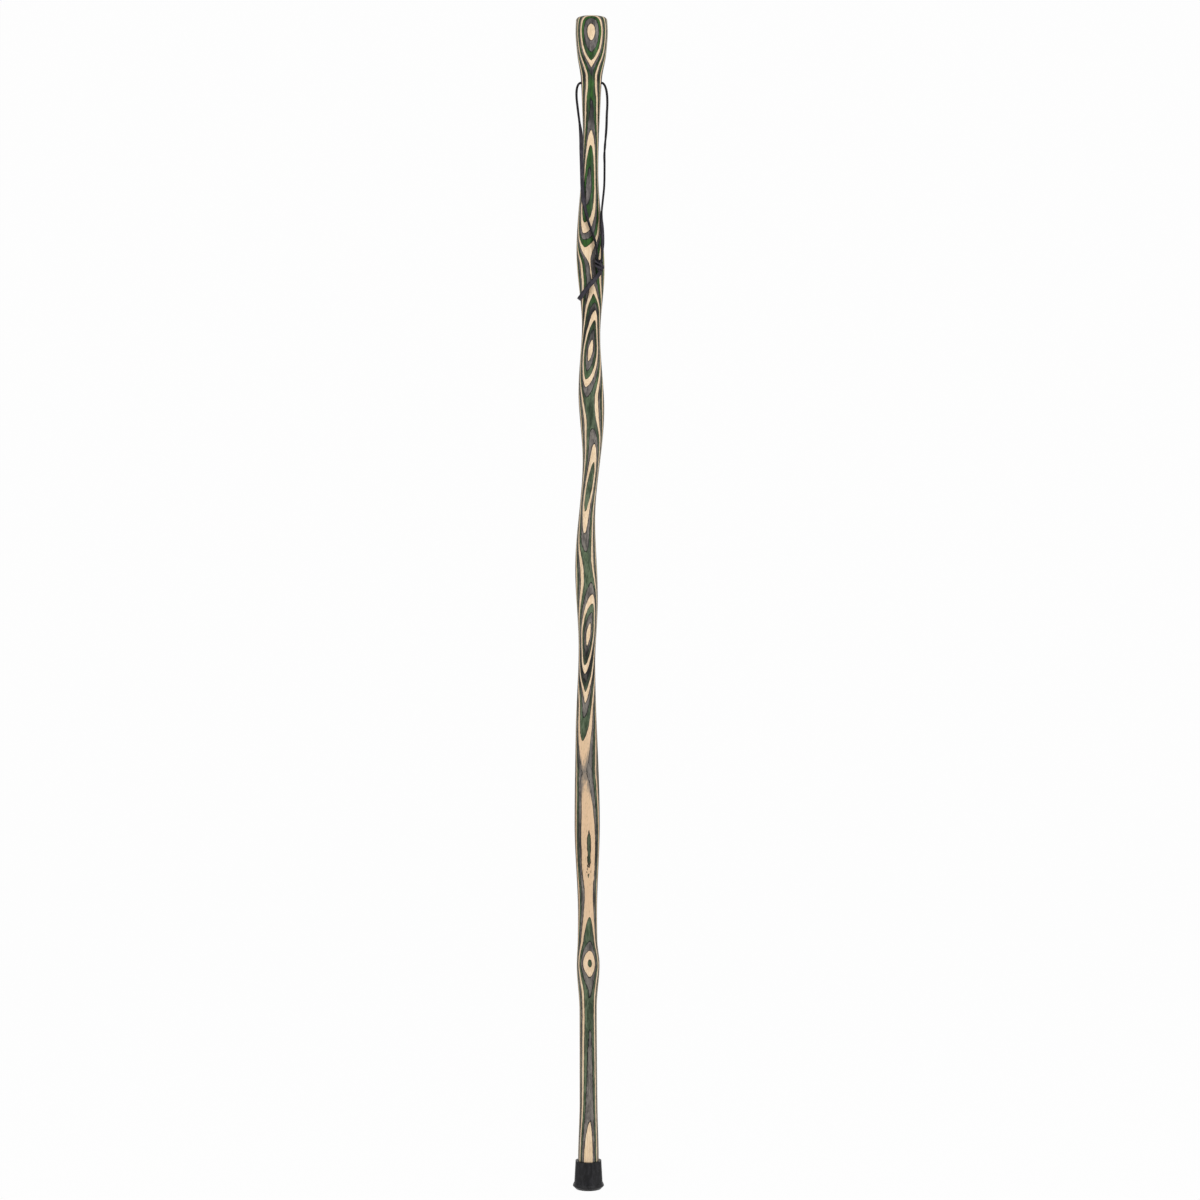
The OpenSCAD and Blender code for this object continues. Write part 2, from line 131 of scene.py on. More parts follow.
class Bench:
    """Short calls for modelling with operators, one object at a time."""

    @staticmethod
    def only(piece: bpy.types.Object) -> None:
        """Selects one object and nothing else.

        Args:
            piece: The object.
        """
        bpy.ops.object.select_all(action="DESELECT")
        piece.select_set(True)
        bpy.context.view_layer.objects.active = piece

    @staticmethod
    def clear() -> None:
        """Deselects everything."""
        bpy.ops.object.select_all(action="DESELECT")

    @classmethod
    def edit(cls, piece: bpy.types.Object) -> None:
        """Opens an object in edit mode with its whole mesh selected.

        Args:
            piece: The object.
        """
        cls.only(piece)
        bpy.ops.object.mode_set(mode="EDIT")
        bpy.ops.mesh.select_all(action="SELECT")

    @staticmethod
    def done() -> None:
        """Leaves edit mode."""
        bpy.ops.object.mode_set(mode="OBJECT")

    @classmethod
    def copy(cls, piece: bpy.types.Object) -> bpy.types.Object:
        """Copies an object with its own mesh.

        Args:
            piece: The object to copy.

        Returns:
            The copy.
        """
        cls.only(piece)
        bpy.ops.object.duplicate(linked=False)
        return bpy.context.active_object

    @classmethod
    def cut_away(cls, piece: bpy.types.Object, cutter: bpy.types.Object) -> None:
        """Cuts one object's solid out of another and removes the cutter.

        Args:
            piece: The object that is cut.
            cutter: The object that is taken out of it.
        """
        cut = piece.modifiers.new("cut", "BOOLEAN")
        cut.operation = "DIFFERENCE"
        cut.solver = "EXACT"
        cut.object = cutter
        cls.only(piece)
        bpy.ops.object.modifier_apply(modifier=cut.name)
        cls.only(cutter)
        bpy.ops.object.delete()

    @classmethod
    def to_metres(cls, piece: bpy.types.Object) -> None:
        """Scales a finished piece from millimetres to metres, about the origin.

        Args:
            piece: The piece.
        """
        cls.edit(piece)
        bpy.ops.transform.resize(value=(MM, MM, MM), center_override=(0.0, 0.0, 0.0))
        cls.done()

    @classmethod
    def smooth(cls, piece: bpy.types.Object, angle: float) -> None:
        """Shades a piece smooth, but for marked edges and those sharper than an angle in degrees."""
        cls.only(piece)
        bpy.ops.object.shade_smooth_by_angle(angle=math.radians(angle), keep_sharp_edges=True)

    @staticmethod
    def store(mesh: bpy.types.Mesh, name: str, values: Sequence[float]) -> None:
        """Stores a value for each of a mesh's points, as an attribute of that name."""
        layer = mesh.attributes.new(name, "FLOAT", "POINT")
        layer.data.foreach_set("value", values)

    @classmethod
    def dress(cls, piece: bpy.types.Object, material: bpy.types.Material, angle: float) -> None:
        """Brings a modelled piece to its real size, shades it and gives it its finish.

        Args:
            piece: The piece, in millimetres.
            material: Its finish.
            angle: The angle in degrees past which its edges stay sharp.
        """
        cls.to_metres(piece)
        cls.smooth(piece, angle)
        piece.data.materials.clear()
        piece.data.materials.append(material)
        LOG.info("%s: %d faces", piece.name, len(piece.data.polygons))


class NodeSheet:
    """A shader node tree with short calls for adding and joining nodes."""

    def __init__(self, tree: bpy.types.NodeTree) -> None:
        """Takes the tree that nodes are added to."""
        self.tree = tree

    def add(self, kind: str, **values: object) -> bpy.types.Node:
        """Adds a node.

        Args:
            kind: The node's type, without the ShaderNode prefix.
            values: Properties to set on it.

        Returns:
            The node.
        """
        node = self.tree.nodes.new(kind if kind.startswith("Node") else f"ShaderNode{kind}")
        for name, value in values.items():
            setattr(node, name, value)
        return node

    def join(self, start: bpy.types.NodeSocket, end: bpy.types.NodeSocket) -> None:
        """Links an output to an input."""
        self.tree.links.new(start, end)

    def feed(self, socket: bpy.types.NodeSocket, value: object) -> None:
        """Links a socket to an output, or sets it to a plain value.

        Args:
            socket: The input.
            value: The output that it is linked to, or the value that it is set to.
        """
        if isinstance(value, bpy.types.NodeSocket):
            self.join(value, socket)
        else:
            socket.default_value = value

    def math(self, operation: str, *values: object, clamp: bool = False) -> bpy.types.NodeSocket:
        """Adds a Math node and gives its output.

        Args:
            operation: The node's operation.
            values: Its inputs, each an output socket or a number.
            clamp: Whether its result is kept from 0 to 1.

        Returns:
            The result.
        """
        node = self.add("Math", operation=operation, use_clamp=clamp)
        for socket, value in zip(node.inputs, values):
            self.feed(socket, value)
        return node.outputs["Value"]

    def spread(
        self,
        value: object,
        start: float,
        end: float,
        low: float = 0.0,
        high: float = 1.0,
        soft: bool = False,
    ) -> bpy.types.NodeSocket:
        """Adds a Map Range node and gives its output.

        Args:
            value: The value to map.
            start: The value that becomes low.
            end: The value that becomes high.
            low: The result at start.
            high: The result at end.
            soft: Whether the range eases in and out.

        Returns:
            The result.
        """
        node = self.add("MapRange", interpolation_type="SMOOTHSTEP" if soft else "LINEAR")
        for socket, number in zip(node.inputs[:5], (value, start, end, low, high)):
            self.feed(socket, number)
        return node.outputs["Result"]

    def blend(self, share: object, first: object, second: object) -> bpy.types.NodeSocket:
        """Adds a colour Mix node and gives its output.

        Args:
            share: How much of the second colour is taken.
            first: The first colour.
            second: The second colour.

        Returns:
            The mixed colour.
        """
        # A Mix node has a set of sockets for each data type: these are its share and its colours.
        node = self.add("Mix", data_type="RGBA")
        for place, value in ((0, share), (6, first), (7, second)):
            self.feed(node.inputs[place], value)
        return node.outputs[2]

    def attribute(self, name: str) -> bpy.types.NodeSocket:
        """Gives a value that is stored in the mesh."""
        return self.add("Attribute", attribute_name=name).outputs["Fac"]

    def height(self, place: bpy.types.NodeSocket) -> bpy.types.NodeSocket:
        """Gives the height of a place, in metres.

        Args:
            place: The coordinates.

        Returns:
            Their third value.
        """
        node = self.add("SeparateXYZ")
        self.join(place, node.inputs["Vector"])
        return node.outputs["Z"]

    def noise(self, vector: object, scale: Place, detail: float = 3.0) -> bpy.types.NodeSocket:
        """Adds a noise of a given size along each axis and gives its value.

        Args:
            vector: The coordinates, in metres.
            scale: The size of the noise along each axis, in millimetres.
            detail: How much finer noise is laid over it.

        Returns:
            The noise's value.
        """
        stretch = self.add("VectorMath", operation="MULTIPLY")
        self.feed(stretch.inputs[0], vector)
        stretch.inputs[1].default_value = tuple(1 / (size * MM) for size in scale)
        node = self.add("TexNoise")
        self.join(stretch.outputs["Vector"], node.inputs["Vector"])
        node.inputs["Scale"].default_value = 1.0
        node.inputs["Detail"].default_value = detail
        return node.outputs["Fac"]


class Effects:
    """Shader node groups that more than one finish uses, each built once."""

    def __init__(self) -> None:
        """Builds the groups."""
        self.wood = self._wood_figure()
        self.glue = self._glue_line()
        self.skin = self._moulded_skin()

    @staticmethod
    def _group(name: str, inputs: dict[str, str], outputs: Sequence[str]) -> tuple[NodeSheet, dict, dict]:
        """Starts a node group.

        Args:
            name: The group's name.
            inputs: Its inputs, each with its socket type.
            outputs: Its outputs, all of them values.

        Returns:
            The group's sheet, the sockets of its inputs, and those of its outputs.
        """
        tree = bpy.data.node_groups.new(name, "ShaderNodeTree")
        for label, kind in inputs.items():
            tree.interface.new_socket(name=label, in_out="INPUT", socket_type=kind)
        for label in outputs:
            tree.interface.new_socket(name=label, in_out="OUTPUT", socket_type="NodeSocketFloat")
        sheet = NodeSheet(tree)
        entry = sheet.add("NodeGroupInput")
        leaving = sheet.add("NodeGroupOutput")
        given = {socket.name: socket for socket in entry.outputs if socket.name}
        made = {socket.name: socket for socket in leaving.inputs if socket.name}
        return sheet, given, made

    def _wood_figure(self) -> bpy.types.NodeTree:
        """Builds long fibres, short pores, and small clouds and wide zones of dye along the grain.

        Returns:
            The node group.
        """
        sheet, given, made = self._group(
            "Wood figure",
            {"Vector": "NodeSocketVector"},
            ("Fibres", "Flecks", "Pores", "Clouds", "Zones"),
        )
        vector = given["Vector"]
        sheet.join(sheet.noise(vector, FIBRE_SIZE, detail=5.0), made["Fibres"])
        flecks = sheet.noise(vector, FLECK_SIZE)
        sheet.join(flecks, made["Flecks"])
        sheet.join(sheet.spread(flecks, *PORE_SPAN, soft=True), made["Pores"])
        sheet.join(sheet.noise(vector, CLOUD_SIZE, detail=4.0), made["Clouds"])
        sheet.join(sheet.noise(vector, ZONE_SIZE), made["Zones"])
        return sheet.tree

    def _glue_line(self) -> bpy.types.NodeTree:
        """Builds a mask that is 1 at a ply's two glued faces and fades to 0 inside it.

        Returns:
            The node group.
        """
        sheet, given, made = self._group(
            "Glue line",
            {"Depth": "NodeSocketFloat", "Thickness": "NodeSocketFloat", "Reach": "NodeSocketFloat"},
            ("Mask",),
        )
        nearer = sheet.math("MINIMUM", given["Depth"], sheet.math("SUBTRACT", 1.0, given["Depth"]))
        inside = sheet.math("MULTIPLY", nearer, given["Thickness"])
        share = sheet.math("DIVIDE", inside, given["Reach"], clamp=True)
        sheet.join(sheet.spread(share, *GLUE_SPAN, 1.0, 0.0, soft=True), made["Mask"])
        return sheet.tree

    def _moulded_skin(self) -> bpy.types.NodeTree:
        """Builds a fine pebbled skin with rubbed patches, for leather, rubber and steel.

        Returns:
            The node group.
        """
        sheet, given, made = self._group(
            "Pebbled skin",
            {"Vector": "NodeSocketVector", "Pebble": "NodeSocketFloat"},
            ("Pebbles", "Rub"),
        )
        pebbles = sheet.add("TexVoronoi", feature="SMOOTH_F1")
        sheet.join(given["Vector"], pebbles.inputs["Vector"])
        sheet.join(sheet.math("DIVIDE", 1 / MM, given["Pebble"]), pebbles.inputs["Scale"])
        sheet.join(pebbles.outputs["Distance"], made["Pebbles"])
        sheet.join(sheet.noise(given["Vector"], RUB_SIZE, detail=4.0), made["Rub"])
        return sheet.tree


@dataclass(frozen=True)
class Finish:
    """What every finish has: a name, which is also its material's, and a material made of nodes."""

    name: str

    def _sheet(self) -> tuple[bpy.types.Material, NodeSheet, bpy.types.Node, bpy.types.NodeSocket]:
        """Starts the material.

        Returns:
            The material, its sheet, its shader and the object coordinates.
        """
        material = bpy.data.materials.new(self.name)
        material.use_nodes = True
        sheet = NodeSheet(material.node_tree)
        shader = material.node_tree.nodes["Principled BSDF"]
        place = sheet.add("TexCoord").outputs["Object"]
        return material, sheet, shader, place

    @staticmethod
    def _use(sheet: NodeSheet, tree: bpy.types.NodeTree, **inputs: object) -> bpy.types.Node:
        """Places a shared node group.

        Args:
            sheet: The material's sheet.
            tree: The group.
            inputs: The group's inputs by name.

        Returns:
            The group's node.
        """
        node = sheet.add("Group", node_tree=tree)
        for name, value in inputs.items():
            sheet.feed(node.inputs[name], value)
        return node

    @staticmethod
    def _relief(
        sheet: NodeSheet, shader: bpy.types.Node, height: object, depth: float, strength: float
    ) -> None:
        """Gives a shader fine relief.

        Args:
            sheet: The material's sheet.
            shader: The shader whose normal it sets.
            height: The height, from 0 to 1.
            depth: The depth of the relief, in millimetres.
            strength: How strongly it shows.
        """
        bump = sheet.add("Bump")
        bump.inputs["Strength"].default_value = strength
        bump.inputs["Distance"].default_value = depth * MM
        sheet.feed(bump.inputs["Height"], height)
        sheet.join(bump.outputs["Normal"], shader.inputs["Normal"])


@dataclass(frozen=True)
class ToneBand:
    """A stretch of the staff, between two heights in millimetres, on which a veneer has another tone."""

    tone: Colour
    share: float
    bottom: float
    top: float
    fade: float = 100.0

    def felt(self, sheet: NodeSheet, place: bpy.types.NodeSocket) -> bpy.types.NodeSocket:
        """Tells how strongly the band is felt at a place.

        Args:
            sheet: The material's sheet.
            place: The object coordinates.

        Returns:
            The tone's share there.
        """
        z = sheet.math("DIVIDE", sheet.height(place), MM)
        top = (self.top - self.fade, self.top + self.fade)
        bottom = (self.bottom - self.fade, self.bottom + self.fade)
        under = sheet.spread(z, *top, self.share, 0.0, soft=True)
        over = sheet.spread(z, *bottom, 0.0, self.share, soft=True)
        return sheet.math("MINIMUM", under, over)


@dataclass(frozen=True)
class VeneerFinish(Finish):
    """Dyed, lacquered veneer, darker along its glue lines.

    The spans are the parts of a noise's run, or of the ply's depth, over which an effect comes in.
    """

    pale: Colour
    deep: Colour
    cloud: Colour
    cloud_share: float
    glue: Colour
    glue_reach: float
    pore_share: float
    zone_share: float
    stain_share: float
    band: ToneBand
    worn: ToneBand | None = None
    tone_span: Span = (0.34, 0.66)
    cloud_span: Span = (0.42, 0.64)
    zone_span: Span = (0.44, 0.66)
    soak_span: Span = (0.35, 0.55)
    least_soak: float = 0.65
    fibre_span: Span = (0.3, 0.7)
    fleck_span: Span = (0.35, 0.65)
    glue_swing: Span = (0.5, 1.5)
    full_slope: float = 0.6
    level_reach: float = 0.06
    worn_span: Span = (0.5, 0.88)
    worn_fray: float = 0.12
    roughness: Span = (0.36, 0.5)
    gloss: float = 0.16
    lacquer: float = 0.08
    lacquer_roughness: float = 0.2
    grain_depth: float = 0.05
    grain_strength: float = 0.25

    def _steepness(self, sheet: NodeSheet) -> bpy.types.NodeSocket:
        """Tells how steeply the carved surface crosses the glue lines, which keeps their drawn width even.

        Args:
            sheet: The material's sheet.

        Returns:
            The share of the glue lines' reach that is left.
        """
        facing = sheet.add("SeparateXYZ")
        sheet.join(sheet.add("NewGeometry").outputs["Normal"], facing.inputs["Vector"])
        level = sheet.math("MULTIPLY", facing.outputs["Y"], facing.outputs["Y"])
        slope = sheet.math("SQRT", sheet.math("SUBTRACT", 1.0, level, clamp=True))
        return sheet.spread(slope, 0.0, self.full_slope, self.level_reach, 1.0)

    def _reach(self, sheet: NodeSheet, figure: bpy.types.Node) -> bpy.types.NodeSocket:
        """Tells how far the glue darkens the veneer, which is uneven along the grain.

        Args:
            sheet: The material's sheet.
            figure: The wood figure's node.

        Returns:
            The reach, in millimetres.
        """
        least, most = (swing * self.glue_reach for swing in self.glue_swing)
        reach = sheet.spread(figure.outputs["Fibres"], *self.fibre_span, least, most)
        flecked = sheet.spread(figure.outputs["Flecks"], *self.fleck_span, *self.glue_swing)
        reach = sheet.math("MULTIPLY", reach, flecked)
        return sheet.math("MULTIPLY", reach, self._steepness(sheet))

    def _dyed(
        self, sheet: NodeSheet, place: bpy.types.NodeSocket, figure: bpy.types.Node
    ) -> bpy.types.NodeSocket:
        """Mixes the veneer's colour away from its glue lines: its fibres, clouds, soaked zones and pores.

        Args:
            sheet: The material's sheet.
            place: The object coordinates.
            figure: The wood figure's node.

        Returns:
            The colour.
        """
        colour = sheet.blend(sheet.spread(figure.outputs["Fibres"], *self.tone_span), self.pale, self.deep)
        colour = sheet.blend(self.band.felt(sheet, place), colour, self.band.tone)
        clouds = sheet.spread(figure.outputs["Clouds"], *self.cloud_span, 0.0, self.cloud_share, soft=True)
        colour = sheet.blend(clouds, colour, self.cloud)
        zones = sheet.spread(figure.outputs["Zones"], *self.zone_span, 0.0, self.zone_share, soft=True)
        least = self.least_soak * self.stain_share
        soaked = sheet.spread(figure.outputs["Clouds"], *self.soak_span, least, self.stain_share)
        stained = sheet.math("MULTIPLY", sheet.attribute("stain"), soaked)
        colour = sheet.blend(sheet.math("MAXIMUM", zones, stained), colour, self.glue)
        pores = sheet.math("MULTIPLY", figure.outputs["Pores"], self.pore_share)
        return sheet.blend(pores, colour, self.glue)

    def _thinned(
        self, sheet: NodeSheet, place: bpy.types.NodeSocket, figure: bpy.types.Node, band: ToneBand
    ) -> bpy.types.NodeSocket:
        """Tells where the veneer is worn so thin that the next one shows through it.

        Args:
            sheet: The material's sheet.
            place: The object coordinates.
            figure: The wood figure's node.
            band: The worn stretch.

        Returns:
            How strongly the next veneer shows.
        """
        fray = sheet.spread(figure.outputs["Flecks"], *self.fibre_span, -self.worn_fray, self.worn_fray)
        depth = sheet.math("ADD", sheet.attribute("ply_depth"), fray)
        thin = sheet.spread(depth, *self.worn_span, soft=True)
        return sheet.math("MULTIPLY", thin, band.felt(sheet, place))

    def material(self, effects: Effects) -> bpy.types.Material:
        """Builds the veneer's material.

        Args:
            effects: The shared node groups.

        Returns:
            The material.
        """
        material, sheet, shader, place = self._sheet()
        figure = self._use(sheet, effects.wood, Vector=place)
        fibres = figure.outputs["Fibres"]
        glue = self._use(
            sheet,
            effects.glue,
            Depth=sheet.attribute("ply_depth"),
            Thickness=PLY_THICKNESS,
            Reach=self._reach(sheet, figure),
        )
        colour = sheet.blend(glue.outputs["Mask"], self._dyed(sheet, place, figure), self.glue)
        if self.worn:
            thin = self._thinned(sheet, place, figure, self.worn)
            colour = sheet.blend(thin, colour, self.worn.tone)
        sheet.join(colour, shader.inputs["Base Color"])
        sheet.join(sheet.spread(fibres, *self.fibre_span, *self.roughness), shader.inputs["Roughness"])
        shader.inputs["Specular IOR Level"].default_value = self.gloss
        shader.inputs["Coat Weight"].default_value = self.lacquer
        shader.inputs["Coat Roughness"].default_value = self.lacquer_roughness
        grain = sheet.math("SUBTRACT", fibres, figure.outputs["Pores"])
        self._relief(sheet, shader, grain, self.grain_depth, self.grain_strength)
        return material


@dataclass(frozen=True)
class LeatherFinish(Finish):
    """Charcoal leather lace with a pebbled grain, coloured darker on its narrow cut sides as a painted
    shade.
    """

    face: Colour
    rubbed: Colour
    # The edge colour is a painted shade, laid on the strip's narrow cut sides.
    edge: Colour
    edge_shade_share: float = 0.9
    rub_span: Span = (0.42, 0.7)
    roughness: Span = (0.72, 0.55)
    gloss: float = 0.17
    pebble: float = 0.55
    pebble_depth: float = 0.12
    pebble_strength: float = 0.5

    def material(self, effects: Effects) -> bpy.types.Material:
        """Builds the leather's material.

        Args:
            effects: The shared node groups.

        Returns:
            The material.
        """
        material, sheet, shader, place = self._sheet()
        skin = self._use(sheet, effects.skin, Vector=place, Pebble=self.pebble)
        rub = sheet.spread(skin.outputs["Rub"], *self.rub_span, soft=True)
        colour = sheet.blend(rub, self.face, self.rubbed)
        # Painted shade: the strip's narrow cut sides are coloured darker, standing in for the shade along
        # its edges.
        cut_edge = sheet.math("MULTIPLY", sheet.attribute("cut_edge"), self.edge_shade_share)
        sheet.join(sheet.blend(cut_edge, colour, self.edge), shader.inputs["Base Color"])
        sheet.join(sheet.spread(rub, 0.0, 1.0, *self.roughness), shader.inputs["Roughness"])
        shader.inputs["Specular IOR Level"].default_value = self.gloss
        self._relief(sheet, shader, skin.outputs["Pebbles"], self.pebble_depth, self.pebble_strength)
        return material


@dataclass(frozen=True)
class RubberFinish(Finish):
    """Moulded rubber, scuffed pale where it meets the ground, with lighter mottled patches that are partly
    grey bloom and partly painted highlights.
    """

    face: Colour
    bloom_and_highlight: Colour
    scuff: Colour
    scuff_height: float
    scuff_size: Place = (1.2, 1.2, 0.8)
    scuff_span: Span = (0.5, 0.7)
    scuff_share: float = 0.6
    bloom_and_highlight_share: float = 0.5
    rub_span: Span = (0.4, 0.7)
    roughness: Span = (0.36, 0.52)
    gloss: float = 0.18
    pebble: float = 0.4
    pebble_depth: float = 0.06
    pebble_strength: float = 0.35

    def material(self, effects: Effects) -> bpy.types.Material:
        """Builds the rubber's material.

        Args:
            effects: The shared node groups.

        Returns:
            The material.
        """
        material, sheet, shader, place = self._sheet()
        skin = self._use(sheet, effects.skin, Vector=place, Pebble=self.pebble)
        rub = sheet.spread(skin.outputs["Rub"], *self.rub_span, soft=True)
        # Painted highlight: the lighter mottled patches stand partly for grey bloom on the rubber and
        # partly for highlights on it.
        colour = sheet.blend(sheet.math("MULTIPLY", rub, self.bloom_and_highlight_share), self.face, self.bloom_and_highlight)
        low = sheet.spread(sheet.height(place), 0.0, self.scuff_height * MM, 1.0, 0.0, soft=True)
        marks = sheet.spread(sheet.noise(place, self.scuff_size), *self.scuff_span)
        scuffs = sheet.math("MULTIPLY", sheet.math("MULTIPLY", low, marks), self.scuff_share)
        sheet.join(sheet.blend(scuffs, colour, self.scuff), shader.inputs["Base Color"])
        sheet.join(sheet.spread(rub, 0.0, 1.0, *self.roughness), shader.inputs["Roughness"])
        shader.inputs["Specular IOR Level"].default_value = self.gloss
        self._relief(sheet, shader, skin.outputs["Pebbles"], self.pebble_depth, self.pebble_strength)
        return material


@dataclass(frozen=True)
class SteelFinish(Finish):
    """Zinc-plated steel with dull patches."""

    face: Colour
    dull: Colour
    dull_span: Span = (0.4, 0.65)
    rub_span: Span = (0.35, 0.7)
    roughness: Span = (0.3, 0.48)
    pebble: float = 0.8

    def material(self, effects: Effects) -> bpy.types.Material:
        """Builds the steel's material.

        Args:
            effects: The shared node groups.

        Returns:
            The material.
        """
        material, sheet, shader, place = self._sheet()
        rub = self._use(sheet, effects.skin, Vector=place, Pebble=self.pebble).outputs["Rub"]
        colour = sheet.blend(sheet.spread(rub, *self.dull_span), self.face, self.dull)
        sheet.join(colour, shader.inputs["Base Color"])
        sheet.join(sheet.spread(rub, *self.rub_span, *self.roughness), shader.inputs["Roughness"])
        shader.inputs["Metallic"].default_value = 1.0
        return material


@dataclass(frozen=True)
class Curve:
    """A smooth curve of (drop, offset) points, which runs level through its crests and hollows."""

    points: tuple[tuple[float, float], ...]

    def _rise(self, i: int) -> float:
        """Gives the slope of the chord after a point."""
        (start, low), (end, high) = self.points[i : i + 2]
        return (high - low) / (end - start)

    def _slope(self, i: int) -> float:
        """Gives the curve's slope at a point.

        Args:
            i: The point's number.

        Returns:
            The slope, which is level at crests, hollows and ends.
        """
        if i == 0 or i == len(self.points) - 1:
            return 0.0
        before = self._rise(i - 1)
        after = self._rise(i)
        return 0.0 if before * after <= 0 else 2 * before * after / (before + after)

    def at(self, drop: float) -> float:
        """Reads the curve.

        Args:
            drop: The drop below the crown.

        Returns:
            The offset there.
        """
        i = max((n for n, point in enumerate(self.points[:-1]) if point[0] <= drop), default=0)
        start, low = self.points[i]
        end, high = self.points[i + 1]
        run = end - start
        u = max(0.0, min(1.0, (drop - start) / run))
        ease = u * u * (3 - 2 * u)
        bow = run * u * (1 - u) * (self._slope(i) * (1 - u) - self._slope(i + 1) * u)
        return low + (high - low) * ease + bow


@dataclass(frozen=True)
class Ply:
    """One sheet of veneer in the billet."""

    number: int
    dye: Dye
    front: float
    back: float

    @property
    def node(self) -> str:
        """The name of the part's node that it stands for."""
        return f"ply_{self.number:02d}_{self.dye.value}"


@dataclass(frozen=True)
class Ripple:
    """An unevenness of the glued faces, with its run across and along the grain and its height."""

    across: float
    along: float
    layer: float
    height: float

    def at(self, x: float, z: float) -> float:
        """Gives the ripple's level at a place, from -1 to 1."""
        return noise.noise(Vector((x / self.across, z / self.along, self.layer)))


@dataclass(frozen=True)
class RaggedPatch:
    """A height at which the front's glued faces are rippled and frayed, and may sag backwards."""

    height: float
    reach: float
    ripple: float = 0.0
    fray: float = 0.0
    sag: float = 0.0

    def strength(self, z: float) -> float:
        """Tells how strongly the patch is felt at a height, from 0 to 1."""
        return math.exp(-(((z - self.height) / self.reach) ** 2))


@dataclass(frozen=True)
class Stain:
    """A height at which the dye soaked in, nearly black where its depth is 1."""

    height: float
    reach: float
    depth: float = 1.0
    fullness: float = 1.5

    def strength(self, z: float) -> float:
        """Tells how dark the stain is at a height, from 0 to 1."""
        soak = self.fullness * math.exp(-(((z - self.height) / self.reach) ** 2))
        return self.depth * min(1.0, soak)


@dataclass(frozen=True)
class Billet:
    """The glued stack of veneers that the shaft is carved from, which the press left uneven."""

    count: int = 25
    long_ripple: Ripple = Ripple(across=16, along=46, layer=3.1, height=0.10)
    short_ripple: Ripple = Ripple(across=2.4, along=9, layer=7.7, height=0.06)
    fine_ripple: Ripple = Ripple(across=0.9, along=3.2, layer=1.3, height=0.03)
    patches: tuple[RaggedPatch, ...] = (
        RaggedPatch(height=1277, reach=16, ripple=0.3, fray=0.15),
        RaggedPatch(height=494, reach=17, ripple=0.15, fray=0.2, sag=0.27),
        RaggedPatch(height=425, reach=30, sag=-0.09),
        RaggedPatch(height=376, reach=16, ripple=0.5, fray=0.45, sag=0.42),
        RaggedPatch(height=200, reach=50, ripple=0.12, fray=0.06, sag=0.1),
    )
    stains: tuple[Stain, ...] = (
        Stain(height=1326, reach=7, depth=0.9),
        Stain(height=1282, reach=12, depth=0.8),
        Stain(height=1030, reach=24),
        Stain(height=623, reach=26),
        Stain(height=413, reach=28, depth=0.8),
    )
    front_end: float = 3.0
    front_fade: float = 8.0
    bend_rounds: int = 5

    @property
    def depth(self) -> float:
        """The whole stack's thickness."""
        return self.count * PLY_THICKNESS

    @property
    def front(self) -> float:
        """The depth of the stack's front face."""
        return -AXIS_SHIFT - self.depth / 2

    def plies(self) -> list[Ply]:
        """Lists the sheets from front to back.

        Returns:
            The sheets.
        """
        dyes = list(Dye)
        faces = [self.front + i * PLY_THICKNESS for i in range(self.count + 1)]
        return [Ply(i + 1, dyes[i % len(dyes)], faces[i], faces[i + 1]) for i in range(self.count)]

    def _offsets(self, x: float, z: float) -> tuple[float, float]:
        """Tells how far the glued faces lie from flat.

        Args:
            x: Sideways place.
            z: Height.

        Returns:
            The offset in depth all through the billet, and what the patches add on its front.
        """
        long, short, fine = self.long_ripple, self.short_ripple, self.fine_ripple
        levels = (long.at(x, z), short.at(x, z), fine.at(x, z))
        even = long.height * levels[0] + short.height * levels[1] + fine.height * levels[2]
        added = 0.0
        for patch in self.patches:
            added += patch.strength(z) * (patch.ripple * levels[1] + patch.fray * levels[2] - patch.sag)
        return even, added

    def _frontness(self, y: float) -> float:
        """Gives 1 on the front, where the patches are, and 0 on the back."""
        return max(0.0, min(1.0, (self.front_end - y) / self.front_fade))

    def wave(self, x: float, y: float, z: float) -> float:
        """Tells how far a place must move in depth for the glued faces to lie flat."""
        even, added = self._offsets(x, z)
        return even + added * self._frontness(y)

    def bent_back(self, x: float, y: float, z: float) -> float:
        """Finds where a place of the flattened billet really lies.

        Args:
            x: Sideways place.
            y: Depth in the flattened billet.
            z: Height.

        Returns:
            The real depth.
        """
        even, added = self._offsets(x, z)
        depth = y
        for _ in range(self.bend_rounds):
            depth = y - even - added * self._frontness(depth)
        return depth

    def stain(self, z: float) -> float:
        """Tells how darkly the dye soaked in at a height, from 0 to 1."""
        return max(stain.strength(z) for stain in self.stains)


@dataclass(frozen=True)
class Section:
    """The shaft's carved outline at one height."""

    left: float
    right: float
    front: float
    back: float
    ridge: float = 0.0
    keel: float = 0.0

    def point(self, angle: float, to_left: bool) -> tuple[float, float]:
        """Finds a point of the outline.

        Args:
            angle: From -90 degrees on the front ridge to 90 on the back one.
            to_left: Whether the point is on the left flank.

        Returns:
            The point, sideways and in depth.
        """
        turn = math.radians(angle)
        share = math.cos(turn)
        crest = self.left + self.right - self.ridge
        if angle < 0:
            crest = self.ridge
            share *= 1 - self.keel * (1 - share)
        side = self.left if to_left else self.right
        middle = (self.front + self.back) / 2
        return crest + (side - crest) * share, middle + (self.back - middle) * math.sin(turn)


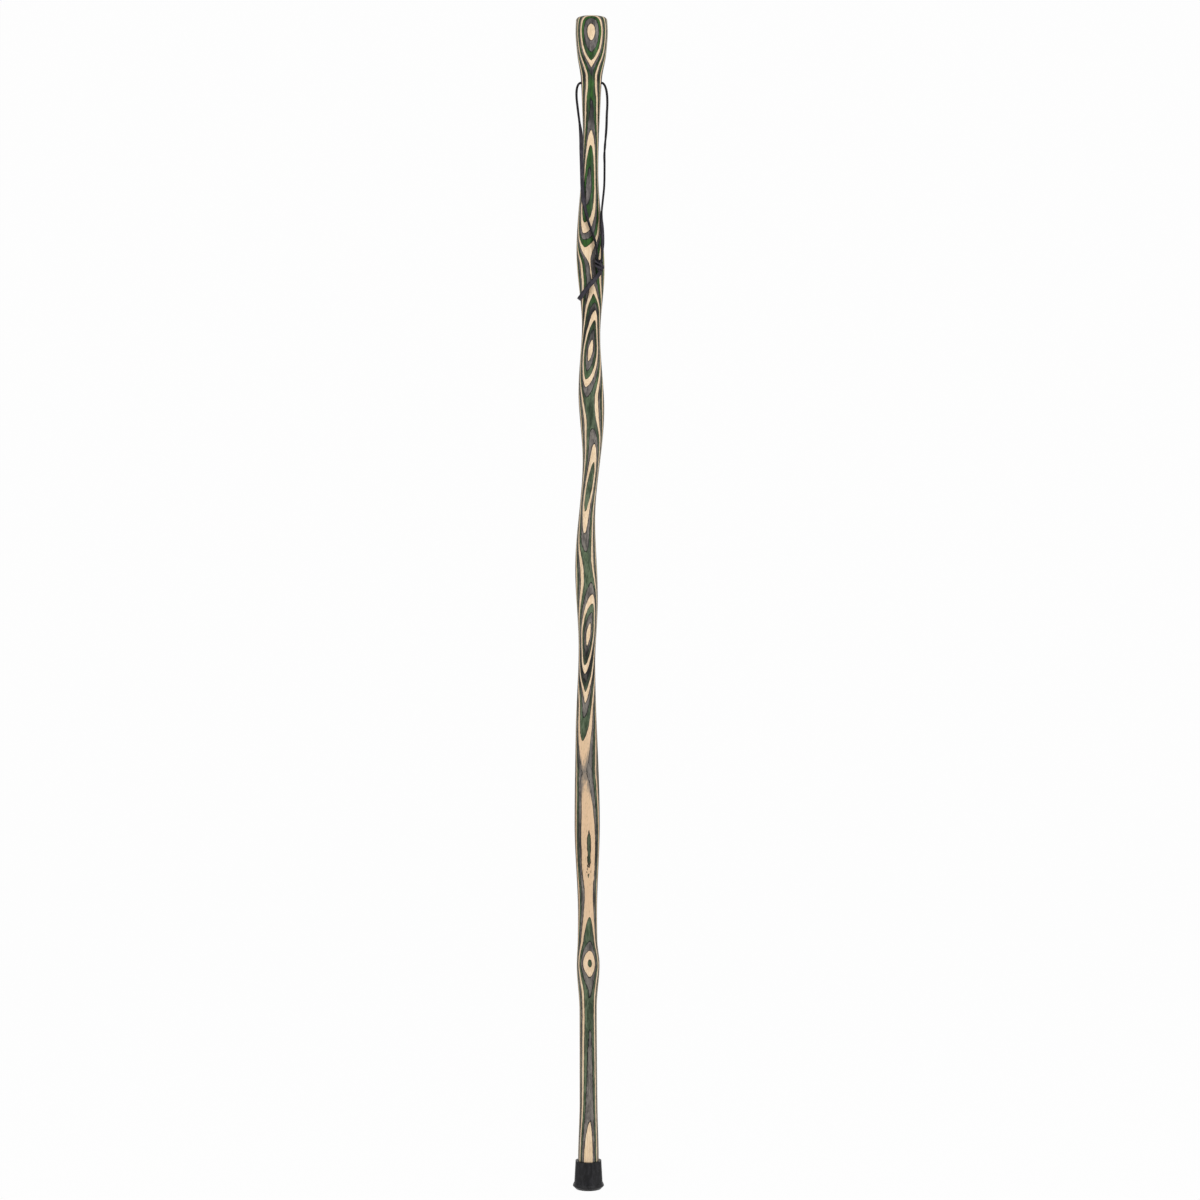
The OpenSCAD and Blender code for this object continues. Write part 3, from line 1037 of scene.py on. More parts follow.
@dataclass(frozen=True)
class Carving:
    """The shaft's carved shape: its edges, its front and back, and its winding front ridge.

    Where the ridge is keen its flanks are drawn in, which makes the narrow eyes and the pointed tips.
    """

    billet: Billet = Billet()
    crown_radius: float = 3.5
    left_edge: Curve = Curve((
        (0, -14.8), (16, -15.4), (44, -13.4), (72, -9.2), (100, -7.8), (150, -6.4), (279, -14.3),
        (368, -7.8), (447, -11.9), (528, -6.9), (657, -15.8), (750, -11.7), (850, -15.2),
        (961, -16.6), (1072, -12.5), (KNOT_DROP - 26, -12.8), (KNOT_DROP + 3, -14),
        (KNOT_DROP + 58, -10.7), (FLARE_DROP, -10.5), (FOOT_DROP, -FOOT_RADIUS),
    ))
    right_edge: Curve = Curve((
        (0, 22.4), (16, 23.1), (44, 21.2), (72, 16.3), (100, 14.5), (184, 11.8), (300, 19.3),
        (381, 14.1), (467, 18.9), (600, 8.1), (692, 11.3), (771, 8.2), (961, 13.6), (1070, 10.3),
        (KNOT_DROP - 26, 10.7), (KNOT_DROP + 3, 13.4), (KNOT_DROP + 54, 10), (FLARE_DROP, 10.8),
        (FOOT_DROP, FOOT_RADIUS),
    ))
    front_cut: Curve = Curve((
        (0, 4.4), (8, 2), (20, 1), (45, 3.2), (62, 6.4), (71, 8), (84, 8.4), (98, 8.05), (120, 7.5),
        (137, 6.4), (155, 4.8), (182, 3.2), (205, 2.6), (228, 3.2), (246, 4.8), (259, 6.4),
        (275, 9.6), (296, 11.1), (312, 11.1), (331, 9.6), (351, 6.4), (363, 4.8), (386, 1.6),
        (398, 0.7), (411, 1.6), (428, 4), (442, 6.4), (455, 8), (478, 8.7), (509, 6.4), (562, 3.5),
        (590, 4.8), (616, 6.4), (655, 8.7), (674, 8), (688, 6.4), (699, 4.8), (722, 1.6),
        (735, 0.65), (749, 1.6), (761, 3.2), (782, 6.4), (804, 9.6), (834, 12.8), (862, 14.4),
        (886, 15.5), (899, 16.1), (913, 15.6), (966, 14.4), (984, 14.2), (1002, 14.4), (1040, 15.3),
        (KNOT_DROP - 27, 12.8), (KNOT_DROP, 9.4), (KNOT_DROP + 16, 11.2), (KNOT_DROP + 36, 12.8),
        (KNOT_DROP + 61, 13), (KNOT_DROP + 85, 12.8), (FLARE_DROP, 11.75),
        (FOOT_DROP, HALF_BILLET + AXIS_SHIFT - FOOT_RADIUS),
    ))
    back_cut: Curve = Curve((
        (0, 2.6), (20, 1.2), (70, 7.8), (95, 9.2), (201, 12.2), (305, 6.7), (399, 12.7), (475, 8.2),
        (562, 11.2), (655, 9.2), (735, 11.6), (903, 4.7), (1042, 6.8), (KNOT_DROP - 27, 6.9),
        (KNOT_DROP, 5.2), (KNOT_DROP + 61, 7.2),
        (FLARE_DROP, 6.9), (FOOT_DROP, HALF_BILLET - AXIS_SHIFT - FOOT_RADIUS),
    ))
    ridge: Curve = Curve((
        (20, 3.3), (100, 3.7), (150, 2.8), (201, 0.1), (246, -4.6), (262, -5.4), (276, -4.2), (296, 2),
        (306, 3.2), (331, 6.2), (353, 8.2), (384, 5), (412, 0), (438, -3.2), (515, 7.3), (535, 6),
        (590, -3.9), (618, -4.8), (694, 5.4), (722, 2.3), (750, -1.8), (776, -4.4), (806, -3.4),
        (862, -7.4), (983, 1), (KNOT_DROP, 2.1), (FLARE_DROP, 2.5), (FOOT_DROP, 0),
    ))
    keel: Curve = Curve((
        (0, 0), (36, 0), (62, 0.75), (84, 0.4), (104, 0), (270, 0), (296, 0.6), (331, 0.6), (354, 0.4),
        (386, 0.55), (412, 0.55), (442, 0.35), (478, 0), (535, 0.35), (590, 0.35), (640, 0), (690, 0.3),
        (722, 0.55), (750, 0.55), (776, 0.35), (806, 0.75), (850, 0), (FOOT_DROP, 0),
    ))

    def section(self, drop: float) -> Section:
        """Works out the carved outline at a drop below the crown.

        Args:
            drop: The drop.

        Returns:
            The outline.
        """
        rounding = max(0.0, self.crown_radius - drop)
        inset = self.crown_radius - math.sqrt(self.crown_radius**2 - rounding**2)
        front = self.billet.front + self.front_cut.at(drop) + inset
        back = self.billet.front + self.billet.depth - self.back_cut.at(drop) - inset
        left = self.left_edge.at(drop) + inset
        right = self.right_edge.at(drop) - inset
        return Section(left, right, front, back, self.ridge.at(drop), self.keel.at(drop))


@dataclass
class Shaft:
    """The carved shaft, sawn back into the veneers that it was glued from."""

    finishes: dict[Dye, bpy.types.Material]
    carving: Carving = Carving()
    ring_step: float = 2.0
    crown_rings: int = 12
    flank_columns: int = 64
    turned_rings: int = 8
    seam: float = 0.0005
    saw_seam: float = 0.00001
    bore_length: float = 60.0
    bore_sides: int = 48
    sharp_angle: float = 35.0

    def _outlines(self) -> list[tuple[float, Section]]:
        """Lists the shaft's outlines from the crown down to its turned end, each with its height.

        Returns:
            The heights and outlines.
        """
        radius = self.carving.crown_radius
        turns = [math.pi / 2 * i / self.crown_rings for i in range(self.crown_rings)]
        drops = [radius * (1 - math.cos(turn)) for turn in turns]
        steps = round((FOOT_DROP - radius) / self.ring_step)
        drops += [radius + (FOOT_DROP - radius) * i / steps for i in range(steps + 1)]
        carved = [(STAFF_LENGTH - drop, self.carving.section(drop)) for drop in drops]
        seat = Section(-SEAT_RADIUS, SEAT_RADIUS, -SEAT_RADIUS, SEAT_RADIUS)
        seat_top = STAFF_LENGTH - FOOT_DROP
        run = SEAT_END - seat_top
        count = self.turned_rings
        turned = [(seat_top + run * i / count, seat) for i in range(count + 1)]
        return carved + turned

    def carve_blank(self) -> bpy.types.Object:
        """Wraps a fine grid round the outlines, closes its ends and drills the cross bore.

        Returns:
            The carved blank, in one piece.
        """
        outlines = self._outlines()
        columns = 2 * self.flank_columns
        rows = len(outlines) - 1
        Bench.clear()
        bpy.ops.mesh.primitive_grid_add(x_subdivisions=columns, y_subdivisions=rows, size=1)
        blank = bpy.context.active_object
        for vertex in blank.data.vertices:
            column = round((vertex.co.x + 0.5) * columns)
            height, outline = outlines[round((vertex.co.y + 0.5) * rows)]
            to_left = column <= self.flank_columns
            share = column if to_left else columns - column
            x, y = outline.point(-90 + 180 * share / self.flank_columns, to_left)
            vertex.co = (x, y, height)
        Bench.edit(blank)
        bpy.ops.mesh.remove_doubles(threshold=self.seam)
        bpy.ops.mesh.fill_holes(sides=0)
        bpy.ops.mesh.normals_make_consistent(inside=False)
        Bench.done()
        Bench.clear()
        bpy.ops.mesh.primitive_cylinder_add(
            vertices=self.bore_sides,
            radius=BORE_RADIUS,
            depth=self.bore_length,
            location=(0, -AXIS_SHIFT, BORE_HEIGHT),
            rotation=(0, math.pi / 2, 0),
        )
        Bench.cut_away(blank, bpy.context.active_object)
        return blank

    def _saw(self, piece: bpy.types.Object, depth: float, keep_front: bool) -> None:
        """Saws a piece through at a depth, keeps one side, and marks the sawn face's rim sharp.

        Args:
            piece: The piece.
            depth: The depth of the cut.
            keep_front: Whether the front side is kept.
        """
        Bench.edit(piece)
        bpy.ops.mesh.bisect(
            plane_co=(0, depth, 0),
            plane_no=(0, 1, 0),
            use_fill=True,
            clear_inner=not keep_front,
            clear_outer=keep_front,
            threshold=self.saw_seam,
        )
        bpy.ops.mesh.mark_sharp()
        Bench.done()

    def _flatten(self, piece: bpy.types.Object) -> None:
        """Bends a mesh so that the billet's wavy glue faces lie flat."""
        for vertex in piece.data.vertices:
            vertex.co.y += self.carving.billet.wave(*vertex.co)

    def _bend_back(self, piece: bpy.types.Object) -> None:
        """Bends a flattened mesh back to its real shape."""
        for vertex in piece.data.vertices:
            vertex.co.y = self.carving.billet.bent_back(*vertex.co)

    def _finish_ply(self, piece: bpy.types.Object, ply: Ply) -> None:
        """Gives a sawn sheet its depth values, shape, finish and place on the shaft.

        Args:
            piece: The sheet's object.
            ply: The sheet.
        """
        piece.name = f"veneer_{ply.number:02d}_{ply.dye.value}"
        piece.data.name = piece.name
        points = [vertex.co for vertex in piece.data.vertices]
        depths = [(point.y - ply.front) / PLY_THICKNESS for point in points]
        stains = [self.carving.billet.stain(point.z) for point in points]
        Bench.store(piece.data, "ply_depth", depths)
        Bench.store(piece.data, "stain", stains)
        self._bend_back(piece)
        Bench.dress(piece, self.finishes[ply.dye], self.sharp_angle)
        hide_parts(ply.node)
        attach(piece, Body.SHAFT.value)

    def build(self) -> None:
        """Carves the blank and saws it into its veneers."""
        rest = self.carve_blank()
        self._flatten(rest)
        plies = self.carving.billet.plies()
        for ply in plies[:-1]:
            sheet = Bench.copy(rest)
            self._saw(sheet, ply.back, keep_front=True)
            self._saw(rest, ply.back, keep_front=False)
            self._finish_ply(sheet, ply)
        self._finish_ply(rest, plies[-1])


@dataclass(frozen=True)
class LaceRun:
    """One stretch of the lace.

    Its route has points of x, y, height from the bore and the strip's turn in degrees. It leaves and
    arrives along two directions, and its length is in metres.
    """

    name: str
    node: str
    route: tuple[tuple[float, float, float, float], ...]
    leaves: Place
    arrives: Place
    length: float
    ends_in: str


@dataclass(frozen=True)
class Knot:
    """The knot: its place, and how the strip is wound round its own two strands and drawn tight.

    Heights are from the bore, and angles are in radians.
    """

    x: float = 13.2
    y: float = -15.6
    top: float = -211.0
    height: float = 15.0
    core: float = 3.1
    turns: float = 2.25
    start: float = -0.6
    slant: float = 3.2
    slant_start: float = 0.4
    tuck: float = 0.35
    tuck_share: float = 1 / 6
    lumps: float = 0.6
    strand_spread: float = 2.7
    foot_spread: float = 0.6
    foot_stagger: float = 1.4
    pinch: float = 0.5
    pinch_rate: float = 1.2
    strand_twist: float = 1.5
    wrap_steps: int = 90
    strand_steps: int = 15

    @property
    def bottom(self) -> float:
        """Height of the knot's lower end from the bore."""
        return self.top - self.height


@dataclass
class Lace:
    """The flat leather lace: two legs from the cross bore to a knot, and two tails."""

    finish: bpy.types.Material
    width: float = 4.4
    thickness: float = 2.3
    corner: float = 0.55
    corner_points: int = 4
    step: float = 1.0
    edge_fray: float = 0.03
    fray_length: float = 4.0
    left_mouth: float = -9.39
    right_mouth: float = 16.38
    bore_steps: int = 24
    sharp_angle: float = 50.0
    knot: Knot = Knot()

    def runs(self) -> list[LaceRun]:
        """Lists the lace's free stretches.

        Returns:
            The two legs and the two tails.
        """
        low = self.knot.bottom
        front = self.knot.y
        left = (
            (self.left_mouth, -AXIS_SHIFT, 0, 90), (-11.3, -2.5, -1, 90), (-12.7, -2.6, -3.2, 87),
            (-13.7, -2.8, -6.6, 83), (-14.2, -3.1, -11.5, 80), (-14.1, -3.5, -18, 80),
            (-13.3, -4.3, -26, 79), (-12, -5.8, -37, 80), (-10.6, -7.4, -48, 80),
            (-9.4, -8.8, -57, 55), (-8.7, -10.4, -66, 25), (-8.5, -13, -81, 10),
            (-7.8, -16.8, -104, 8), (-7.1, -20.2, -128, 8), (-5.7, -21.4, -144, 15),
            (-3.6, -21.7, -154, 40), (-1.4, -21.1, -164, 65), (1.3, -19.9, -172, 75),
            (3.7, -18.7, -179, 75), (6.2, -17.8, -185, 75), (8, -17, -191, 80),
            (9.4, -16.2, -199, 85), (10.2, -15.7, -206.5, 90), (10.5, front, self.knot.top, 90),
        )
        right = (
            (self.right_mouth, -AXIS_SHIFT, 0, 90), (18, -2.5, -1, 90), (19.6, -2.6, -3.4, 93),
            (20.9, -2.8, -7, 97), (21.8, -3, -11.5, 100), (22.4, -3.3, -18, 100),
            (22.5, -3.7, -27, 100), (21.9, -4.2, -38, 102), (21.5, -5.1, -52, 102),
            (20.7, -6, -64, 100), (19.7, -7.1, -76, 80), (19, -8.1, -87, 100),
            (19.2, -9.1, -98, 95), (18.8, -11.4, -124, 95), (17.2, -12.9, -141, 95),
            (15.9, -13.9, -154, 90), (15.6, -14.5, -164, 70), (16.4, -15, -176, 40),
            (16.9, -15.4, -192, 40), (16.4, -15.6, -202, 70), (15.9, front, self.knot.top, 90),
        )
        front_tail = (
            (14.4, front - 1.5, low, 0), (13.6, front - 1.6, low - 2.5, 0),
            (11.4, front - 1.7, low - 6, 0), (6.4, front - 1.9, low - 12, 0),
            (0.4, front - 1.9, low - 19, 0), (-5.6, front - 1.7, low - 27, 0),
            (-10.8, front - 1.4, low - 34.5, 0),
        )
        rear_tail = (
            (14, front + 1.3, low, 0), (13, front + 1.2, low - 2.5, 0),
            (10.6, front + 1.1, low - 5.8, 0), (5.4, front + 0.9, low - 11, 0),
            (-0.4, front + 0.9, low - 18, 0), (-6, front + 1, low - 25.5, 0),
            (-11.8, front + 1.1, low - 33.6, 0),
        )
        down = (0.0, 0.0, -1.0)
        slant = (-0.6, 0.0, -0.8)
        return [
            LaceRun("lace_left_run", "lace_left_leg", left, (-1.0, 0.0, 0.0), down, 0.216, "knot"),
            LaceRun("lace_right_run", "lace_right_leg", right, (1.0, 0.0, 0.0), down, 0.213, "knot"),
            LaceRun("lace_front_end", "lace_front_tail", front_tail, down, slant, 0.044, "bare"),
            LaceRun("lace_rear_end", "lace_rear_tail", rear_tail, down, slant, 0.044, "bare"),
        ]

    def _path(self, run: LaceRun) -> list[tuple[Vector, float]]:
        """Draws a smooth path through a route's points.

        Args:
            run: The stretch.

        Returns:
            Points in millimetres in the staff's frame, each with the lace's turn.
        """
        points = [Vector((x, y, BORE_HEIGHT + h, turn)) for x, y, h, turn in run.route]
        last = len(points) - 1
        chords = [(points[i + 1] - points[i]).to_3d().length for i in range(last)]

        def heading(i: int) -> Vector:
            """Gives the path's direction and turning at a route point.

            Args:
                i: The point's number.

            Returns:
                The change in place and turn for each millimetre.
            """
            if i == 0:
                return Vector((*run.leaves, 0.0))
            if i == last:
                return Vector((*run.arrives, 0.0))
            return (points[i + 1] - points[i - 1]) / (chords[i - 1] + chords[i])

        made = []
        for i in range(last):
            steps = max(2, round(chords[i] / self.step))
            for n in range(steps):
                u = n / steps
                ease = u * u * (3 - 2 * u)
                bow = heading(i) * (u * (1 - u) ** 2) - heading(i + 1) * (u * u * (1 - u))
                place = points[i] * (1 - ease) + points[i + 1] * ease + bow * chords[i]
                made.append((place.to_3d(), place.w))
        made.append((points[last].to_3d(), points[last].w))
        return made

    def _outline(self) -> list[tuple[float, float, float]]:
        """Draws the strip's outline, a flat bar with rounded corners.

        Returns:
            Points across the strip, each with 1 where it is on a cut edge and 0 on a face.
        """
        made = []
        for corner in range(4):
            side = 1 if corner in (0, 3) else -1
            face = 1 if corner < 2 else -1
            for n in range(self.corner_points):
                turn = math.pi / 2 * (corner + n / (self.corner_points - 1))
                across = side * (self.width / 2 - self.corner) + self.corner * math.cos(turn)
                through = face * (self.thickness / 2 - self.corner) + self.corner * math.sin(turn)
                made.append((across, through, abs(math.cos(turn)) ** 2))
        return made

    def _strip(self, name: str, rings: Sequence[Ring]) -> bpy.types.Object:
        """Sweeps the strip's outline through rings.

        Args:
            name: The new object's name.
            rings: Each ring's middle, the direction across the strip, and the one through it.

        Returns:
            The strip, in millimetres.
        """
        outline = self._outline()
        size = len(outline)
        points = []
        for i, (middle, wide, thick) in enumerate(rings):
            along = i * self.step / self.fray_length
            fray = 1 + self.edge_fray * noise.noise(Vector((along, len(rings), 0.5)))
            points += [middle + wide * (a * fray) + thick * t for a, t, _ in outline]
        faces = [tuple(range(size - 1, -1, -1)), tuple(range(len(points) - size, len(points)))]
        for start in range(0, len(points) - size, size):
            for n in range(size):
                after = (n + 1) % size
                faces.append((start + n, start + after, start + size + after, start + size + n))
        mesh = bpy.data.meshes.new(name)
        mesh.from_pydata(points, [], faces)
        Bench.store(mesh, "cut_edge", [edge for _, _, edge in outline] * len(rings))
        piece = bpy.data.objects.new(name, mesh)
        bpy.context.scene.collection.objects.link(piece)
        Bench.edit(piece)
        bpy.ops.mesh.normals_make_consistent(inside=False)
        Bench.done()
        return piece

    def _finish_piece(self, piece: bpy.types.Object, node: str) -> None:
        """Gives a piece of lace its size, finish and place on the loop.

        Args:
            piece: The piece.
            node: The part's node that it stands for.
        """
        Bench.dress(piece, self.finish, self.sharp_angle)
        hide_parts(node)
        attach(piece, Body.WRIST_LOOP.value)

    def _build_run(self, run: LaceRun) -> None:
        """Args:
            run: The stretch.
        """
        path = self._path(run)
        rings = []
        for i, (middle, turn) in enumerate(path):
            if i == 0:
                along = Vector(run.leaves)
            elif i == len(path) - 1:
                along = Vector(run.arrives)
            else:
                along = (path[i + 1][0] - path[i - 1][0]).normalized()
            lean = Vector((math.cos(math.radians(turn)), math.sin(math.radians(turn)), 0.0))
            wide = (lean - along * lean.dot(along)).normalized()
            rings.append((middle, wide, along.cross(wide)))
        piece = self._strip(run.name, rings)
        self._finish_piece(piece, run.node)
        drawn = sum((b[0] - a[0]).length for a, b in zip(path, path[1:])) * MM
        LOG.info("%s: %.4f m along its path", run.name, drawn)

    def _build_in_bore(self) -> bpy.types.Object:
        """Builds the stretch that passes through the shaft.

        Returns:
            The piece.
        """
        width = self.right_mouth - self.left_mouth
        deep = Vector((0, 1, 0))
        rings = []
        for i in range(self.bore_steps + 1):
            x = self.left_mouth + width * i / self.bore_steps
            rings.append((Vector((x, -AXIS_SHIFT, BORE_HEIGHT)), deep, UP))
        piece = self._strip("lace_through_bore", rings)
        self._finish_piece(piece, "lace_in_bore")
        return piece

    def _wrap_rings(self) -> list[Ring]:
        """Winds the strip round the knot's two strands, drawn tight on a slant.

        Returns:
            The rings that the strip is swept through.
        """
        knot = self.knot
        middle = Vector((knot.x, knot.y, BORE_HEIGHT))
        winding = knot.core + self.thickness / 2
        rise = knot.height - self.width
        rings = []
        for i in range(knot.wrap_steps + 1):
            share = i / knot.wrap_steps
            turn = 2 * math.pi * knot.turns * share + knot.start
            out = Vector((math.cos(turn), math.sin(turn), 0.0))
            tuck = 1 - knot.tuck * max(0.0, 1 - min(share, 1 - share) / knot.tuck_share)
            lumps = knot.lumps * noise.noise(Vector((turn, 4.2, 0.7)))
            drawn = knot.slant * math.sin(math.pi * share)
            slant = drawn * math.cos(turn + knot.slant_start)
            height = knot.top - self.width / 2 - rise * share - slant
            lean = Vector((-math.sin(turn), math.cos(turn), 0.0))
            tilt = drawn / winding * math.sin(turn + knot.slant_start)
            wide = (UP + lean * tilt).normalized()
            rings.append((middle + out * ((winding + lumps) * tuck) + UP * height, wide, out))
        return rings

    def _strand_rings(self, side: int) -> list[Ring]:
        """Leads one of the two strands down through the knot.

        Args:
            side: -1 for the left strand and 1 for the right one.

        Returns:
            The rings that the strip is swept through.
        """
        knot = self.knot
        top = Vector((knot.x + side * knot.strand_spread, knot.y, BORE_HEIGHT + knot.top))
        foot_x = knot.x + side * knot.foot_spread
        foot_y = knot.y - side * knot.foot_stagger
        foot = Vector((foot_x, foot_y, BORE_HEIGHT + knot.bottom))
        rings = []
        for i in range(knot.strand_steps + 1):
            u = i / knot.strand_steps
            pinch = 1 - knot.pinch * math.sin(math.pi * min(1.0, u * knot.pinch_rate))
            place = top.lerp(foot, u)
            place.x = knot.x + (place.x - knot.x) * pinch
            twist = u * knot.strand_twist
            wide = Vector((math.sin(twist), math.cos(twist), 0.0))
            rings.append((place, wide, wide.cross(UP)))
        return rings

    def _build_knot(self) -> bpy.types.Object:
        """Builds the knot from its wound strip and the two strands inside it.

        Returns:
            The piece.
        """
        wrap = self._strip("lace_overhand_knot", self._wrap_rings())
        strands = [self._strip("lace_strand", self._strand_rings(side)) for side in (-1, 1)]
        Bench.only(wrap)
        for strand in strands:
            strand.select_set(True)
        bpy.ops.object.join()
        self._finish_piece(wrap, "lace_knot")
        return wrap

    def build(self) -> None:
        """Builds the lace's pieces: its knot, the stretch through the bore, its two legs and its two
        tails.
        """
        knot = self._build_knot()
        in_bore = self._build_in_bore()
        left, right, front_tail, rear_tail = self.runs()
        self._build_run(left)
        for run in (right, front_tail, rear_tail):
            self._build_run(run)


@dataclass
class RubberTip:
    """The push-on rubber tip, with flats on its wall and rings in its tread, and its steel washer."""

    rubber: bpy.types.Material
    steel: bpy.types.Material
    segments: int = 128
    socket_radius: float = 12.25
    floor: float = 6.0
    mouth_radius: float = 16.1
    mouth_chamfer: float = 0.5
    wall_foot_radius: float = 17.55
    foot_radius: float = 18.5
    foot_height: float = 7.0
    foot_band: float = 1.0
    tread_bevel: float = 3.5
    tread_pitch: float = 2.6
    tread_depth: float = 1.5
    tread_rings: int = 2
    flats: int = 8
    flat_depth: float = 0.7
    flat_cutter: float = 10.0
    edge_round: float = 0.3
    edge_segments: int = 3
    edge_angle: float = 14.0
    sharp_angle: float = 30.0

    def _profile(self) -> list[tuple[float, float]]:
        """Draws the tip's half section, from the middle of the tread round to the socket's floor.

        Returns:
            Points of radius and height.
        """
        points = [(self.tread_pitch, 0.0)]
        for ring in range(self.tread_rings):
            inner = self.tread_pitch * (2 * ring + 1)
            outer = inner + self.tread_pitch
            points += [(inner, self.tread_depth), (outer, self.tread_depth), (outer, 0.0)]
            points.append((outer + self.tread_pitch, 0.0))
        points[-1] = (self.foot_radius - self.tread_bevel, 0.0)
        return points + [
            (self.foot_radius, self.tread_bevel),
            (self.foot_radius, self.tread_bevel + self.foot_band),
            (self.wall_foot_radius, self.foot_height),
            (self.mouth_radius, TIP_HEIGHT - self.mouth_chamfer),
            (self.mouth_radius - self.mouth_chamfer, TIP_HEIGHT),
            (self.socket_radius, TIP_HEIGHT),
            (self.socket_radius, self.floor),
        ]

    def _turn(self) -> bpy.types.Object:
        """Turns the tip's body by drawing a disc through the profile, one extrusion at a time.

        Returns:
            The body, in millimetres.
        """
        profile = self._profile()
        Bench.clear()
        radius, height = profile[0]
        bpy.ops.mesh.primitive_circle_add(
            vertices=self.segments, radius=radius, fill_type="NGON", location=(0, 0, height)
        )
        body = bpy.context.active_object
        bpy.ops.object.transform_apply(location=True)
        Bench.edit(body)
        for (radius, height), (next_radius, next_height) in zip(profile, profile[1:]):
            bpy.ops.mesh.extrude_region_move(
                TRANSFORM_OT_translate={"value": (0, 0, next_height - height), "orient_type": "GLOBAL"}
            )
            share = next_radius / radius
            bpy.ops.transform.resize(value=(share, share, 1), center_override=(0, 0, next_height))
        bpy.ops.mesh.select_all(action="SELECT")
        bpy.ops.mesh.normals_make_consistent(inside=False)
        Bench.done()
        return body

    def _cut_flats(self, body: bpy.types.Object) -> None:
        """Cuts the shallow flats into the tapered wall, from the foot out through the mouth.

        Args:
            body: The tip's body.
        """
        wall = TIP_HEIGHT - self.mouth_chamfer - self.foot_height
        lean = math.atan2(self.wall_foot_radius - self.mouth_radius, wall)
        reach = self.flat_cutter
        for n in range(self.flats):
            turn = 2 * math.pi * n / self.flats - math.pi / 2
            Bench.clear()
            bpy.ops.mesh.primitive_cube_add(size=1, location=(0, 0, 0))
            cutter = bpy.context.active_object
            Bench.edit(cutter)
            bpy.ops.transform.resize(value=(reach, 2 * self.foot_radius, TIP_HEIGHT))
            bpy.ops.transform.translate(value=(reach / 2, 0, TIP_HEIGHT / 2))
            Bench.done()
            cutter.rotation_euler = (0, -lean, turn)
            start = self.wall_foot_radius - self.flat_depth
            cutter.location = (start * math.cos(turn), start * math.sin(turn), self.foot_height)
            bpy.ops.object.transform_apply(location=True, rotation=True)
            Bench.cut_away(body, cutter)

    def build(self, washer: bpy.types.Object) -> None:
        """Builds the rubber body and dresses the washer.

        Args:
            washer: The part's own washer.
        """
        washer.data.materials.clear()
        washer.data.materials.append(self.steel)
        body = self._turn()
        self._cut_flats(body)
        soft_edges = body.modifiers.new("soft edges", "BEVEL")
        soft_edges.width = self.edge_round
        soft_edges.segments = self.edge_segments
        soft_edges.limit_method = "ANGLE"
        soft_edges.angle_limit = math.radians(self.edge_angle)
        soft_edges.use_clamp_overlap = True
        Bench.only(body)
        bpy.ops.object.modifier_apply(modifier=soft_edges.name)
        body.name = "rubber_tip"
        body.data.name = body.name
        Bench.dress(body, self.rubber, self.sharp_angle)
        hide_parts("rubber_ferrule")
        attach(body, Body.TIP.value)


